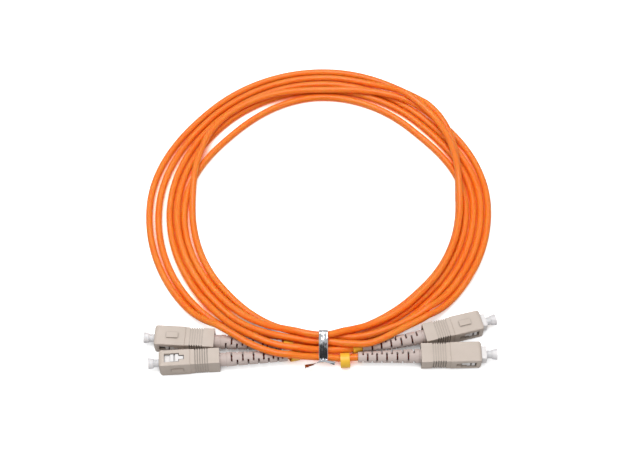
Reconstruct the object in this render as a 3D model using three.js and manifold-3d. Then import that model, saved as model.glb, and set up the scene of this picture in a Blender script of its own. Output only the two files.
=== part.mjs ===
// Duplex fibre optic patch cord: two jacketed single-fibre strands with a push-pull plug on each
// of their four ends, coiled in three turns and held by a foil twist tie.
// Millimetres, +Z up. The cord lies on the plane z = 0 as it was photographed.

import * as THREE from "three";
import { mergeVertices } from "three/addons/utils/BufferGeometryUtils.js";
import Module from "manifold-3d";

const wasm = await Module();
wasm.setup();

// ---------------------------------------------------------------------------------------------
// Driving dimensions
// ---------------------------------------------------------------------------------------------

const cord_diameter = 2.8;
const fibre_diameter = 0.9;          // tight-buffered fibre inside the jacket

const seat_gap = 0.3;                // between pieces that rest on or meet each other
const sliding_gap = 0.2;             // all round a piece that slides in another
const turn_gap = 0.42;               // between turns that lie against each other
const coil_radius = 67;              // from the middle of the coil to the bundle's middle

// Grip housing: the outer shell that is pushed and pulled. Its width and height follow from the
// plug frame that it slides on.
const housing_length = 25;
const housing_edge_radius = 0.45;
const housing_nose_radius = 1.5;
const housing_travel = 2.3;
const cavity_wall_side = 1.25;
const cavity_wall_top = 0.95;
const waist_start = 12.8;            // the shell steps down behind this distance from its nose
const waist_step = 0.25;
const grip_start = 14.8;
const grip_pitch = 1.0;
const grip_groove_width = 0.5;
const grip_groove_count = 6;
const grip_side_depth = 0.45;
const grip_top_depth = 0.15;
const key_setback = 5.2;
const key_length = 4.7;
const key_width = 2.4;
const key_rise = 0.55;
const window_setback = 2.3;
const window_length = 6.2;
const window_height = 3.9;
const window_slit_length = 2.0;
const window_slit_height = 2.0;

// Plug frame: the white body that carries the ferrule and latches in the adapter.
const frame_length = 18;
const frame_wall_side = 0.85;        // beside the bore
const frame_wall_top = 0.4;
const frame_gap_side = 0.35;         // between the frame and the grip housing round it
const frame_gap_top = 0.3;
const frame_edge_radius = 0.5;
const stop_lip_setback = 4.3;
const stop_lip_length = 0.7;
const latch_wing_recess = 0.4;       // from the housing's side face in to the wing's
const latch_bar_length = 1.3;
const latch_bar_gap = 0.7;

// Ferrule, its flange and its spring.
const ferrule_diameter = 2.5;
const ferrule_length = 10.5;
const ferrule_protrusion = 2.2;
const ferrule_chamfer = 0.4;
const ferrule_travel = 1.0;
const flange_wall = 0.35;            // of the cup round the ferrule and of its tail
const flange_gap = 0.25;             // between the flange and the plug frame's bore
const flange_floor = 0.7;
const flange_tail_length = 2.1;
const flange_notch_width = 0.8;
const flange_notch_depth = 0.9;
const spring_wire = 0.4;
const spring_side_gap = 0.3;         // between the spring and the plug frame's bore
const spring_length = 5.6;
const spring_turns = 5;

// Stop body behind the spring, crimp sleeve and boot.
const stop_collar_step = 0.1;        // by which the collar is slimmer than the boot's neck
const stop_collar_length = 1.7;
const stop_tail_diameter = 3.0;
const stop_tail_length = 5.8;
const stop_ring_count = 2;
const stop_ring_width = 0.5;
const stop_ring_depth = 0.25;
const stop_bore = 1.6;
const crimp_wall = 0.35;
const crimp_length = 8.4;
const crimp_bead_width = 1.0;
const crimp_bead_rise = 0.1;
const boot_length = 32.5;
const boot_neck_wall = 0.45;         // of the neck that the grip housing slides over
const boot_neck_length = 7.2;
const boot_neck_gap_side = 0.65;     // between the neck and the grip housing round it
const boot_neck_gap_top = 0.15;
const boot_shoulder_step = 0.2;
const boot_tail_diameter = 4.4;
const boot_slot_width = 0.7;
const boot_slot_angle = 110;         // degrees of the girth that one slot opens
const boot_slot_count = 11;
const boot_slot_first = 9.4;         // from the boot's front face
const boot_slot_pitch_front = 2.35;
const boot_slot_pitch_rear = 1.85;

// Dust cap.
const cap_wall = 0.3;
const cap_gap = 0.12;                // round the ferrule, which the real cap grips
const cap_reach = 4.5;               // past the plug frame's face
const cap_head_diameter = 4.8;
const cap_head_taper = 0.8;          // by which the head is slimmer at its neck end
const cap_head_length = 2.1;
const cap_flare_length = 0.3;
const cap_insertion = 2.9;
const cap_end_recess = 0.5;

// Twist tie round the bundle.
const tie_width = 3.8;
const tie_thickness = 0.4;
const tie_gap = 0.4;                 // between the tie and the strands in it
const tie_tail_thickness = 0.6;
const tie_tail_rise = 0.9;           // of the tails' root above the front strand's axis
const tie_tails = {                  // width, then each section as x, y, z from the root, twist
  right: {
    width: 1.6,
    sections: [[-0.5, 0, 0, 90], [1.2, -0.25, -0.1, 80], [2.8, -0.5, -0.4, 65],
      [4.8, -0.9, -0.9, 50]],
  },
  left: {
    width: 2.4,
    sections: [[0.5, 0, 0, 90], [-1.4, -0.3, -0.2, 80], [-3.0, -0.9, -0.6, 60],
      [-4.8, -1.5, -1.0, 40], [-7.6, -2.0, -1.5, 20]],
  },
};

// Where each plug lies. face is the middle of the plug frame's front face, measured from the
// bundle's middle at the tie; heading is the way that the nose points, from +X; roll turns the plug
// about its own axis, and at 0 its key is on top; slid is how far its grip housing is pulled
// back; boot_bend is the swing of the boot's tail.
const plug_places = {
  back_left: {
    face: [-70.3, -0.6], heading: 176.6, roll: 0, slid: 0,
    boot_roll: 0, boot_bend: 0,
  },
  front_left: {
    face: [-67.8, -12.5], heading: 183.6, roll: -90, slid: 0,
    boot_roll: 0, boot_bend: 0,
  },
  back_right: {
    face: [67.9, 7.1], heading: 14.7, roll: 0, slid: 1.7,
    boot_roll: 45, boot_bend: -8,
  },
  front_right: {
    face: [67.4, -8.5], heading: 1.4, roll: 183, slid: 2.0,
    boot_roll: 35, boot_bend: 0,
  },
};

// The strands: which plug each one starts from and ends in.
const strands = {
  strand_a: { from: "back_left", to: "front_right" },
  strand_b: { from: "front_left", to: "back_right" },
};

// The turns of the coil. Azimuth runs anticlockwise from the tie, seen from above. Each turn's
// drift off the coil's radius is given where the bundle was measured, and its rank says what lies
// on what there: a turn rests on those of lower rank that it crosses, so heights are worked out.
const coil_azimuths = [
  0, 7.5, 15, 30, 45, 90, 135, 180, 225, 270, 315, 330, 337.5, 345, 352.5, 360,
];
const coil_turns = {
  strand_a: [
    {
      drift: [
        1.8, 0.6, -0.4, -2.4, -3.8, -4.4, -10.8, -9.8, -12.2, -6.3, -3.3, -1.5, -0.8, 0, 1, 1.8,
      ],
      rank: [0, 0, 0, 0, 0, 0, 0, 0, 0, 0, 0, 0.8, 1, 1.2, 1.6, 2],
    },
    {
      drift: [
        1.8, -0.4, -1.8, -3.6, -5.4, -7.2, -0.7, 1.2, 1, 5, 7.5, 6.8, 4.3, 2, -0.1, -1.45,
      ],
      rank: [2, 1.8, 1.5, 1, 1, 1, 1, 0.6, 0.6, 0, 0, 0, 0, 0, 0, 0],
    },
    {
      drift: [
        -1.45, -2.65, -3.65, -5.7, -7, -7.6, 2.5, 4.5, 4.3, 9.2, 10.9, 10.6, 11.5, 12.2, 11.2,
        9.93,
      ],
      rank: [0, 0, 0, 0, 0.1, 0.5, 0.9, 0.5, 0.5, 0.5, 1, 1.5, 1.8, 2, 1.5, 1],
    },
  ],
  strand_b: [
    {
      drift: [
        5.05, 3.85, 2.85, 0.9, -0.5, -1.1, -6, -6, -5.6, -3.1, 0, 2, 2.6, 3, 3.2, 3.43,
      ],
      rank: [0, 0, 0, 0, 0, 0, 0, 0, 0, 0, 0, 0.6, 0.9, 1, 1, 1],
    },
    {
      drift: [
        3.43, 5.4, 7.4, 5.2, 5.9, 5.3, 0.5, -7.6, -4.4, -9.6, -6.6, -4.4, -3.2, -2, -0.7, 0.18,
      ],
      rank: [1, 1.6, 2, 1.5, 0.1, 0.1, 0.3, 0.9, 0.9, 0.3, 0, 0.5, 0.7, 0.9, 1, 1],
    },
    {
      drift: [
        0.18, 1.3, 2.1, 2.2, 2.7, 2.1, -2.7, -2.4, -2.2, 0.2, 3.3, 6.2, 7.4, 8, 7.5, 6.68,
      ],
      rank: [1, 1, 1, 1, 0.2, 0, 0.1, 0.1, 0.1, 0.1, 0.3, 1, 1.3, 1.5, 1.3, 1],
    },
  ],
};
const turns = coil_turns.strand_a.length;
const loop_sides = 6;
const fine_steps = 144;              // places in one turn where the resting height is worked out
const open_stride = 4;               // the tube takes each fourth of them round the open coil,
const close_stride = 2;              // and each second one where the turns climb to the tie
const close_reach = 4 * open_stride; // of them, to each side of the tie
const settling_passes = 18;          // more of them draw longer humps
const tie_step_length = 16;          // of bundle that the tie lifts off the surface

// The strands' free stretches between boot and tie: hand-chosen route points on each, measured
// from the bundle's middle at the tie. The tie end of each is at the turn that it joins.
const free_routes = {
  back_left: [[-8, -2.9, 2.9], [-3.5, -2.0, 2.3]],
  front_left: [[-8, -7.2, 3.1], [-3.8, -5.5, 2.3]],
  back_right: [[3.5, -6.7, 5.0], [8, -6.3, 4.7], [12.5, -5.8, 4.1]],
  front_right: [[3.5, -10.0, 4.5], [8, -10.1, 4.0]],
};
const tie_end_height = { back_right: 5.0, front_right: 4.7 };

// Marker rings, one on each strand end: how far behind the boot's tail each one lies, its outer
// diameter, and how far it hangs or leans off the strand's axis.
const ring_width = 3.9;
const ring_wall = 0.4;
const marker_rings = {
  back_left: { setback: 0.7, diameter: 4.0, drop: 0, lean: 0 },
  front_left: { setback: 1.0, diameter: 4.6, drop: 0.2, lean: 0.15 },
  back_right: { setback: 0.5, diameter: 4.0, drop: 0, lean: 0 },
  front_right: { setback: 3.4, diameter: 6.2, drop: 0.55, lean: 0.75 },
};

// Facets of the round pieces, and how closely the coil's seats are measured.
const sides_of_boot = 12;
const sides_of_bore = 12;
const sides_of_small = 10;
const sides_of_lead = 8;
const sides_of_fibre = 8;
const sides_of_spring = 5;
const spring_steps = 8;              // in one curl
const nose_steps = 4;
const wrap_steps = 24;               // round each strand in the tie
const balls_along = { boot: 60, lead: 120, housing: 50 };

// ---------------------------------------------------------------------------------------------
// Derived sizes, shared by the pieces that fit together. Local x runs out of the plug's nose,
// and the plug frame's front face is at x = 0.
// ---------------------------------------------------------------------------------------------

const degrees = Math.PI / 180;
const cord_radius = cord_diameter / 2;
const lip_front = -stop_lip_setback;
const lip_rear = lip_front - stop_lip_length;
const ferrule_rear = ferrule_protrusion - ferrule_length;
const flange_front = lip_rear - seat_gap;
const flange_diameter = ferrule_diameter + 2 * (sliding_gap + flange_wall);
const flange_tail_diameter = fibre_diameter + 2 * (sliding_gap + flange_wall);
const flange_cup_rear = ferrule_rear - seat_gap - flange_floor;
const flange_rear = flange_cup_rear - flange_tail_length;
const frame_bore = flange_diameter + 2 * flange_gap;
const frame_width = frame_bore + 2 * frame_wall_side;
const frame_height = frame_bore + 2 * frame_wall_top;
const cavity_width = frame_width + 2 * frame_gap_side;
const cavity_height = frame_height + 2 * frame_gap_top;
const housing_width = cavity_width + 2 * cavity_wall_side;
const housing_height = cavity_height + 2 * cavity_wall_top;
const spring_mean_diameter = frame_bore - 2 * spring_side_gap - spring_wire;
const spring_front = flange_cup_rear - seat_gap;
const spring_rear = spring_front - spring_length;
const spigot_front = spring_rear - seat_gap;
const collar_front = -frame_length - seat_gap;
const collar_rear = collar_front - stop_collar_length;
const stop_rear = collar_rear - stop_tail_length;
const jacket_front = stop_rear - seat_gap;
const fibre_rear = jacket_front + seat_gap + ferrule_travel;
const crimp_front = collar_rear - seat_gap;
const crimp_rear = crimp_front - crimp_length;
const crimp_inner_radius = stop_tail_diameter / 2 + sliding_gap;
const crimp_outer_radius = crimp_inner_radius + crimp_wall;
const boot_front = crimp_front - seat_gap;
const boot_rear = boot_front - boot_length;
const boot_shoulder = boot_front - boot_neck_length;
const boot_socket_radius = crimp_outer_radius + crimp_bead_rise + sliding_gap;
const boot_neck_radius = boot_socket_radius + boot_neck_wall;
const boot_front_radius = boot_neck_radius + boot_shoulder_step;
const boot_bore_radius = cord_radius + seat_gap;
const boot_bend_start = crimp_rear;
const stop_collar_radius = boot_neck_radius - stop_collar_step;
const rear_cavity_front = -frame_length + housing_travel + sliding_gap;
const rear_cavity_width = 2 * (boot_neck_radius + boot_neck_gap_side);
const rear_cavity_height = 2 * (boot_neck_radius + boot_neck_gap_top);
const cap_bore_radius = ferrule_diameter / 2 + cap_gap;
const cap_neck_radius = cap_bore_radius + cap_wall;
const latch_wing_reach = housing_width / 2 - latch_wing_recess;
const latch_bar_front = -window_setback - housing_travel - seat_gap;
const latch_bar_rear = latch_bar_front - latch_bar_length;
const latch_block_front = latch_bar_rear - latch_bar_gap;
const latch_block_rear = -window_setback - window_length + seat_gap;
const latch_tail_rear = -window_setback - window_length - window_slit_length + seat_gap;

// ---------------------------------------------------------------------------------------------
// Shape helpers
// ---------------------------------------------------------------------------------------------

function toSolid(geometry) {
  const bare = geometry.index ? geometry.toNonIndexed() : geometry.clone();
  bare.deleteAttribute("normal");
  bare.deleteAttribute("uv");
  const merged = mergeVertices(bare, 1e-5);
  const vertProperties = new Float32Array(merged.attributes.position.array);
  const triVerts = new Uint32Array(merged.index.array);
  return new wasm.Manifold(new wasm.Mesh({ numProp: 3, vertProperties, triVerts }));
}

function toGeometry(solid) {
  const mesh = solid.getMesh();
  const geometry = new THREE.BufferGeometry();
  geometry.setAttribute("position", new THREE.BufferAttribute(mesh.vertProperties, 3));
  geometry.setIndex(new THREE.BufferAttribute(mesh.triVerts, 1));
  geometry.computeVertexNormals();
  return geometry;
}

function block(x0, x1, width, height) {
  const geometry = new THREE.BoxGeometry(x1 - x0, width, height);
  return geometry.translate((x0 + x1) / 2, 0, 0);
}

// A revolved piece about the plug's axis, from [x, radius] pairs round its closed profile.
function revolve(profile, sides) {
  const points = profile.map(([x, radius]) => new THREE.Vector2(radius, x));
  if (THREE.ShapeUtils.area(points) < 0) {
    points.reverse();
  }
  points.push(points[0].clone());
  const geometry = new THREE.LatheGeometry(points, sides);
  return geometry.rotateZ(-Math.PI / 2);
}

function pin(x0, x1, radius, sides) {
  return new THREE.CylinderGeometry(radius, radius, x1 - x0, sides)
    .rotateZ(-Math.PI / 2)
    .translate((x0 + x1) / 2, 0, 0);
}

function roundedRectangle(width, height, radius) {
  const shape = new THREE.Shape();
  const w = width / 2;
  const h = height / 2;
  shape.moveTo(-w + radius, -h);
  shape.lineTo(w - radius, -h);
  shape.absarc(w - radius, -h + radius, radius, -Math.PI / 2, 0);
  shape.lineTo(w, h - radius);
  shape.absarc(w - radius, h - radius, radius, 0, Math.PI / 2);
  shape.lineTo(-w + radius, h);
  shape.absarc(-w + radius, h - radius, radius, Math.PI / 2, Math.PI);
  shape.lineTo(-w, -h + radius);
  shape.absarc(-w + radius, -h + radius, radius, Math.PI, Math.PI * 1.5);
  return shape;
}

// A section in the plug's Y and Z, drawn out along its X.
function bar(shape, x0, x1, arcSteps = 2) {
  const geometry = new THREE.ExtrudeGeometry(shape, {
    depth: x1 - x0,
    bevelEnabled: false,
    curveSegments: arcSteps,
  });
  const across = new THREE.Matrix4().makeBasis(
    new THREE.Vector3(0, 1, 0),
    new THREE.Vector3(0, 0, 1),
    new THREE.Vector3(1, 0, 0),
  );
  return geometry.applyMatrix4(across).translate(x0, 0, 0);
}

// An outline in the plug's X and Y, as thick as depth and centred on its axis.
function plate(shape, depth, arcSteps = 3) {
  const geometry = new THREE.ExtrudeGeometry(shape, {
    depth,
    bevelEnabled: false,
    curveSegments: arcSteps,
  });
  return geometry.translate(0, 0, -depth / 2);
}

function mesh(name, geometry, finish) {
  const piece = new THREE.Mesh(geometry, finish);
  piece.name = name;
  return piece;
}

// ---------------------------------------------------------------------------------------------
// Finishes
// ---------------------------------------------------------------------------------------------

function finish(color, roughness, metalness = 0) {
  return new THREE.MeshStandardMaterial({ color, roughness, metalness });
}

const finishes = {
  jacket: () => finish("#f47323", 0.42),
  beige: () => finish("#c9bcb0", 0.5),
  white: () => finish("#efe9ea", 0.45),
  boot: () => finish("#cbbfba", 0.6),
  cap: () => finish("#dedce0", 0.35),
  zirconia: () => finish("#f4f3ee", 0.15),
  nickel: () => finish("#b9b7b0", 0.3, 1),
  steel: () => finish("#a8a9ac", 0.35, 1),
  fibre: () => finish("#e6e2d8", 0.5),
  marker: () => finish("#f8c341", 0.5),
  foil: () => finish("#c4c6ca", 0.2, 1),
};

// ---------------------------------------------------------------------------------------------
// The plug's pieces
// ---------------------------------------------------------------------------------------------

// The half outline of the shell seen from above or from the side: a rounded nose, the step at
// the waist and the grip grooves, mirrored about the axis.
function gripOutline(halfWidth, grooveDepth) {
  const half = [];
  const rear = -housing_length;
  const waist = halfWidth - waist_step;
  half.push([rear, waist]);
  for (let i = grip_groove_count - 1; i >= 0; i -= 1) {
    const start = -grip_start - i * grip_pitch;
    half.push([start - grip_groove_width, waist]);
    half.push([start - grip_groove_width, waist - grooveDepth]);
    half.push([start, waist - grooveDepth]);
    half.push([start, waist]);
  }
  half.push([-waist_start - waist_step, waist]);
  half.push([-waist_start, halfWidth]);
  half.push([-housing_nose_radius, halfWidth]);
  for (let i = 1; i <= nose_steps; i += 1) {
    const turn = (i / nose_steps) * (Math.PI / 2);
    const dip = housing_nose_radius * (1 - Math.cos(turn));
    half.push([-housing_nose_radius * (1 - Math.sin(turn)), halfWidth - dip]);
  }
  const outline = new THREE.Shape();
  half.forEach(([x, y], i) => (i ? outline.lineTo(x, -y) : outline.moveTo(x, -y)));
  half.reverse().forEach(([x, y]) => outline.lineTo(x, y));
  return outline;
}

function windowOutline() {
  const front = -window_setback;
  const middle = front - window_length;
  const rear = middle - window_slit_length;
  const h = window_height / 2;
  const s = window_slit_height / 2;
  const outline = new THREE.Shape();
  outline.moveTo(front, -h);
  outline.lineTo(front, h);
  outline.lineTo(middle, h);
  outline.lineTo(middle, s);
  outline.lineTo(rear, s);
  outline.lineTo(rear, -s);
  outline.lineTo(middle, -s);
  outline.lineTo(middle, -h);
  return outline;
}

function gripHousing() {
  const width = housing_width;
  const height = housing_height;
  const above = plate(gripOutline(width / 2, grip_side_depth), height * 2);
  const beside = plate(gripOutline(height / 2, grip_top_depth), width * 2).rotateX(Math.PI / 2);
  const section = bar(
    roundedRectangle(width, height, housing_edge_radius),
    -housing_length - 1,
    1,
  );
  const key = block(-key_setback - key_length, -key_setback, key_width, key_rise * 2)
    .translate(0, 0, height / 2);
  const cavity = block(-housing_length - 1, 1, cavity_width, cavity_height);
  const rear_cavity = block(
    -housing_length - 1,
    rear_cavity_front,
    rear_cavity_width,
    rear_cavity_height,
  );
  const windows = plate(windowOutline(), width * 2).rotateX(Math.PI / 2);
  return toGeometry(
    toSolid(above)
      .intersect(toSolid(beside))
      .intersect(toSolid(section))
      .add(toSolid(key))
      .subtract(toSolid(cavity))
      .subtract(toSolid(rear_cavity))
      .subtract(toSolid(windows)),
  );
}

// The plug frame's wings stand in the housing's windows and clear them over its whole travel.
function plugFrame() {
  const body = bar(
    roundedRectangle(frame_width, frame_height, frame_edge_radius),
    -frame_length,
    0,
  );
  const reach = 2 * latch_wing_reach;
  const wing_height = window_height - 2 * seat_gap;
  const tail_height = window_slit_height - 2 * seat_gap;
  const bars = block(latch_bar_rear, latch_bar_front, reach, wing_height);
  const blocks = block(latch_block_rear, latch_block_front, reach, wing_height);
  const tails = block(latch_tail_rear, latch_block_rear + seat_gap, reach, tail_height);
  const bore = frame_bore / 2;
  const lip_bore = ferrule_diameter / 2 + sliding_gap;
  const front_bore = pin(lip_front, 1, bore, sides_of_bore);
  const through = pin(-frame_length - 1, 1, lip_bore, sides_of_bore);
  const rear_bore = pin(-frame_length - 1, lip_rear, bore, sides_of_bore);
  return toGeometry(
    toSolid(body)
      .add(toSolid(bars))
      .add(toSolid(blocks))
      .add(toSolid(tails))
      .subtract(toSolid(front_bore))
      .subtract(toSolid(through))
      .subtract(toSolid(rear_bore)),
  );
}

function ferrule() {
  const radius = ferrule_diameter / 2;
  const tip = ferrule_protrusion;
  return revolve([
    [ferrule_rear, 0],
    [ferrule_rear, radius],
    [tip - ferrule_chamfer, radius],
    [tip, radius - ferrule_chamfer],
    [tip, 0],
  ], sides_of_bore);
}

// A cup that holds the ferrule's rear, with a tail that guides the spring and two key notches.
function ferruleFlange() {
  const cup_bore = ferrule_diameter / 2 + sliding_gap;
  const fibre_bore = fibre_diameter / 2 + sliding_gap;
  const tail = flange_tail_diameter / 2;
  const cup = revolve([
    [flange_front, cup_bore],
    [flange_front, flange_diameter / 2],
    [flange_cup_rear, flange_diameter / 2],
    [flange_cup_rear, tail],
    [flange_rear, tail],
    [flange_rear, fibre_bore],
    [ferrule_rear - seat_gap, fibre_bore],
    [ferrule_rear - seat_gap, cup_bore],
  ], sides_of_bore);
  const notch = block(
    flange_front - flange_notch_depth,
    flange_front + 1,
    flange_notch_width,
    flange_diameter * 2,
  );
  return toGeometry(toSolid(cup).subtract(toSolid(notch)));
}

function fibre() {
  const front = ferrule_rear - seat_gap;
  return pin(fibre_rear, front, fibre_diameter / 2, sides_of_fibre);
}

// An open coil spring as one tube along a helix, with its ends cut square.
function ferruleSpring() {
  const steps = spring_turns * spring_steps;
  const rings = [];
  for (let i = 0; i <= steps; i += 1) {
    const share = i / steps;
    const angle = share * spring_turns * 2 * Math.PI;
    const x = spring_front - spring_wire / 2 - share * (spring_length - spring_wire);
    const r = spring_mean_diameter / 2;
    rings.push(new THREE.Vector3(x, r * Math.cos(angle), r * Math.sin(angle)));
  }
  const least = spring_length / spring_turns - 2 * spring_wire;
  const along = new THREE.Vector3(1, 0, 0);
  return { geometry: sweep(rings, spring_wire / 2, sides_of_spring, along), least };
}

// A spigot in the plug frame, a collar behind it, and a ringed tail for the crimp.
function stopBody() {
  const bore = stop_bore / 2;
  const spigot = frame_bore / 2 - sliding_gap;
  const tail = stop_tail_diameter / 2;
  const profile = [
    [spigot_front, bore],
    [spigot_front, spigot],
    [collar_front, spigot],
    [collar_front, stop_collar_radius],
    [collar_rear, stop_collar_radius],
    [collar_rear, tail],
  ];
  const ring_pitch = stop_tail_length / (stop_ring_count + 1);
  for (let i = 1; i <= stop_ring_count; i += 1) {
    const middle = collar_rear - i * ring_pitch;
    profile.push([middle + stop_ring_width / 2, tail]);
    profile.push([middle + stop_ring_width / 2, tail - stop_ring_depth]);
    profile.push([middle - stop_ring_width / 2, tail - stop_ring_depth]);
    profile.push([middle - stop_ring_width / 2, tail]);
  }
  profile.push([stop_rear, tail]);
  profile.push([stop_rear, bore]);
  return revolve(profile, sides_of_small);
}

// A ferrule-like metal tube with a bead at each end of its crimped length.
function crimpSleeve() {
  const inner = crimp_inner_radius;
  const outer = crimp_outer_radius;
  const bead = outer + crimp_bead_rise;
  return revolve([
    [crimp_front, inner],
    [crimp_front, bead],
    [crimp_front - crimp_bead_width, bead],
    [crimp_front - crimp_bead_width, outer],
    [crimp_rear + crimp_bead_width, outer],
    [crimp_rear + crimp_bead_width, bead],
    [crimp_rear, bead],
    [crimp_rear, inner],
  ], sides_of_small);
}

function bootRadius(x) {
  if (x > boot_shoulder) {
    return boot_neck_radius;
  }
  const share = (boot_shoulder - x) / (boot_shoulder - boot_rear);
  return THREE.MathUtils.lerp(boot_front_radius, boot_tail_diameter / 2, share);
}

// The wedge that one slot cuts out of the girth: a slice of a disc, boot_slot_angle wide.
function slotWedge(x, middleAngle) {
  const reach = 2 * boot_front_radius;
  const half = (boot_slot_angle / 2) * degrees;
  const shape = new THREE.Shape();
  shape.moveTo(0, 0);
  shape.lineTo(reach * Math.cos(middleAngle - half), reach * Math.sin(middleAngle - half));
  shape.lineTo(reach * Math.cos(middleAngle), reach * Math.sin(middleAngle));
  shape.lineTo(reach * Math.cos(middleAngle + half), reach * Math.sin(middleAngle + half));
  return bar(shape, x - boot_slot_width / 2, x + boot_slot_width / 2);
}

// The boot: a tapered sleeve with pairs of opposed slots, each pair a quarter turn from the
// last, so that it bends evenly.
function boot(place) {
  let body = toSolid(revolve([
    [boot_front, boot_socket_radius],
    [boot_front, boot_neck_radius],
    [boot_shoulder, boot_neck_radius],
    [boot_shoulder, boot_front_radius],
    [boot_rear, boot_tail_diameter / 2],
    [boot_rear, boot_bore_radius],
    [crimp_rear - seat_gap, boot_bore_radius],
    [crimp_rear - seat_gap, boot_socket_radius],
  ], sides_of_boot));
  let x = boot_front - boot_slot_first;
  for (let i = 0; i < boot_slot_count; i += 1) {
    const side = (i % 2) * (Math.PI / 2) + place.boot_roll * degrees;
    body = body.subtract(toSolid(slotWedge(x, side)));
    body = body.subtract(toSolid(slotWedge(x, side + Math.PI)));
    const share = i / (boot_slot_count - 2);
    x -= THREE.MathUtils.lerp(boot_slot_pitch_front, boot_slot_pitch_rear, share);
  }
  const geometry = toGeometry(body);
  const position = geometry.attributes.position;
  const point = new THREE.Vector3();
  for (let i = 0; i < position.count; i += 1) {
    point.fromBufferAttribute(position, i);
    bend(point, place.boot_bend);
    position.setXYZ(i, point.x, point.y, point.z);
  }
  geometry.computeVertexNormals();
  return geometry;
}

// Swings what lies behind boot_bend_start along an arc in the plug's X and Y.
function bend(point, angle) {
  const along = boot_bend_start - point.x;
  if (along <= 0 || angle === 0) {
    return point;
  }
  const arc_length = boot_bend_start - boot_rear;
  const radius = arc_length / (angle * degrees);
  const turn = Math.min(along, arc_length) / radius;
  const past = Math.max(along - arc_length, 0);
  const y = point.y;
  point.x = boot_bend_start - (radius + y) * Math.sin(turn) - past * Math.cos(turn);
  point.y = y + (radius + y) * (Math.cos(turn) - 1) - past * Math.sin(turn);
  return point;
}

function dustCap() {
  const head = cap_head_diameter / 2;
  const neck = cap_neck_radius;
  const bore = cap_bore_radius;
  const head_rear = cap_reach - cap_head_length;
  const floor = ferrule_protrusion + seat_gap;
  return revolve([
    [-cap_insertion, bore],
    [floor, bore],
    [floor, 0],
    [cap_reach - cap_end_recess, 0],
    [cap_reach - cap_end_recess, bore],
    [cap_reach, bore],
    [cap_reach, head],
    [head_rear, head - cap_head_taper / 2],
    [head_rear - cap_flare_length, neck],
    [-cap_insertion, neck],
  ], sides_of_bore);
}

// ---------------------------------------------------------------------------------------------
// Tubes and the strands' routes
// ---------------------------------------------------------------------------------------------

// One closed tube through a list of points, its rings held upright against a steady direction.
function sweep(points, radius, sides, steady) {
  const vertices = [];
  const faces = [];
  points.forEach((point, i) => {
    const before = points[Math.max(i - 1, 0)];
    const after = points[Math.min(i + 1, points.length - 1)];
    const along = after.clone().sub(before).normalize();
    const side = along.clone().cross(steady).normalize();
    const up = side.clone().cross(along).normalize();
    for (let k = 0; k < sides; k += 1) {
      const turn = (k / sides) * 2 * Math.PI;
      const corner = point.clone()
        .addScaledVector(side, radius * Math.cos(turn))
        .addScaledVector(up, radius * Math.sin(turn));
      vertices.push(corner.x, corner.y, corner.z);
    }
  });
  const rings = points.length;
  for (let i = 0; i < rings - 1; i += 1) {
    for (let k = 0; k < sides; k += 1) {
      const a = i * sides + k;
      const b = i * sides + ((k + 1) % sides);
      const c = a + sides;
      const d = b + sides;
      faces.push(a, d, b, a, c, d);
    }
  }
  const last = (rings - 1) * sides;
  for (let k = 1; k < sides - 1; k += 1) {
    faces.push(0, k, k + 1);
    faces.push(last, last + k + 1, last + k);
  }
  const geometry = new THREE.BufferGeometry();
  geometry.setAttribute("position", new THREE.Float32BufferAttribute(vertices, 3));
  geometry.setIndex(faces);
  geometry.computeVertexNormals();
  return geometry;
}

// A place measured from the bundle's middle at the tie, in the coil's frame.
function fromTie(x, y, z) {
  return new THREE.Vector3(x, y - coil_radius, z);
}

function plugMatrix(place) {
  const rise = restingHeight(place);
  const turned = new THREE.Euler(place.roll * degrees, 0, place.heading * degrees, "ZYX");
  return new THREE.Matrix4()
    .makeRotationFromEuler(turned)
    .setPosition(fromTie(place.face[0], place.face[1], rise));
}

// How high the plug's axis is when its housing lies on the surface at the plug's roll.
function restingHeight(place) {
  const c = Math.abs(Math.cos(place.roll * degrees));
  const s = Math.abs(Math.sin(place.roll * degrees));
  const corner = housing_edge_radius;
  const half_height = housing_height / 2 - corner;
  const half_width = housing_width / 2 - corner;
  const body = half_height * c + half_width * s + corner;
  const key_down = key_rise * Math.max(0, -Math.cos(place.roll * degrees));
  return body + key_down;
}

// A point on the strand's axis inside the plug, at a local x, in the coil's frame.
function plugAxisPoint(place, x) {
  return bend(new THREE.Vector3(x, 0, 0), place.boot_bend).applyMatrix4(plugMatrix(place));
}

// Smooth value at an azimuth from the values at coil_azimuths, level at the tie.
function betweenAzimuths(values, azimuth) {
  const marks = coil_azimuths;
  let i = 0;
  while (i < marks.length - 2 && azimuth > marks[i + 1]) {
    i += 1;
  }
  const slope = (k) => {
    if (k === 0 || k === marks.length - 1) {
      return 0;
    }
    const left = (values[k] - values[k - 1]) / (marks[k] - marks[k - 1]);
    const right = (values[k + 1] - values[k]) / (marks[k + 1] - marks[k]);
    return left * right > 0 ? (2 * left * right) / (left + right) : 0;
  };
  const span = marks[i + 1] - marks[i];
  const t = (azimuth - marks[i]) / span;
  const h = t * t * (3 - 2 * t);
  const rise_start = t * (1 - t) * (1 - t) * span * slope(i);
  const rise_end = -t * t * (1 - t) * span * slope(i + 1);
  return values[i] * (1 - h) + values[i + 1] * h + rise_start + rise_end;
}

function surfaceHeight(azimuth, radius) {
  const from_tie = Math.min(azimuth, 360 - azimuth) * degrees * radius;
  const share = THREE.MathUtils.clamp(1 - from_tie / (tie_step_length / 2), 0, 1);
  const lift = (tie_thickness + tie_gap) * share * share * (3 - 2 * share);
  return cord_radius + lift;
}

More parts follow.
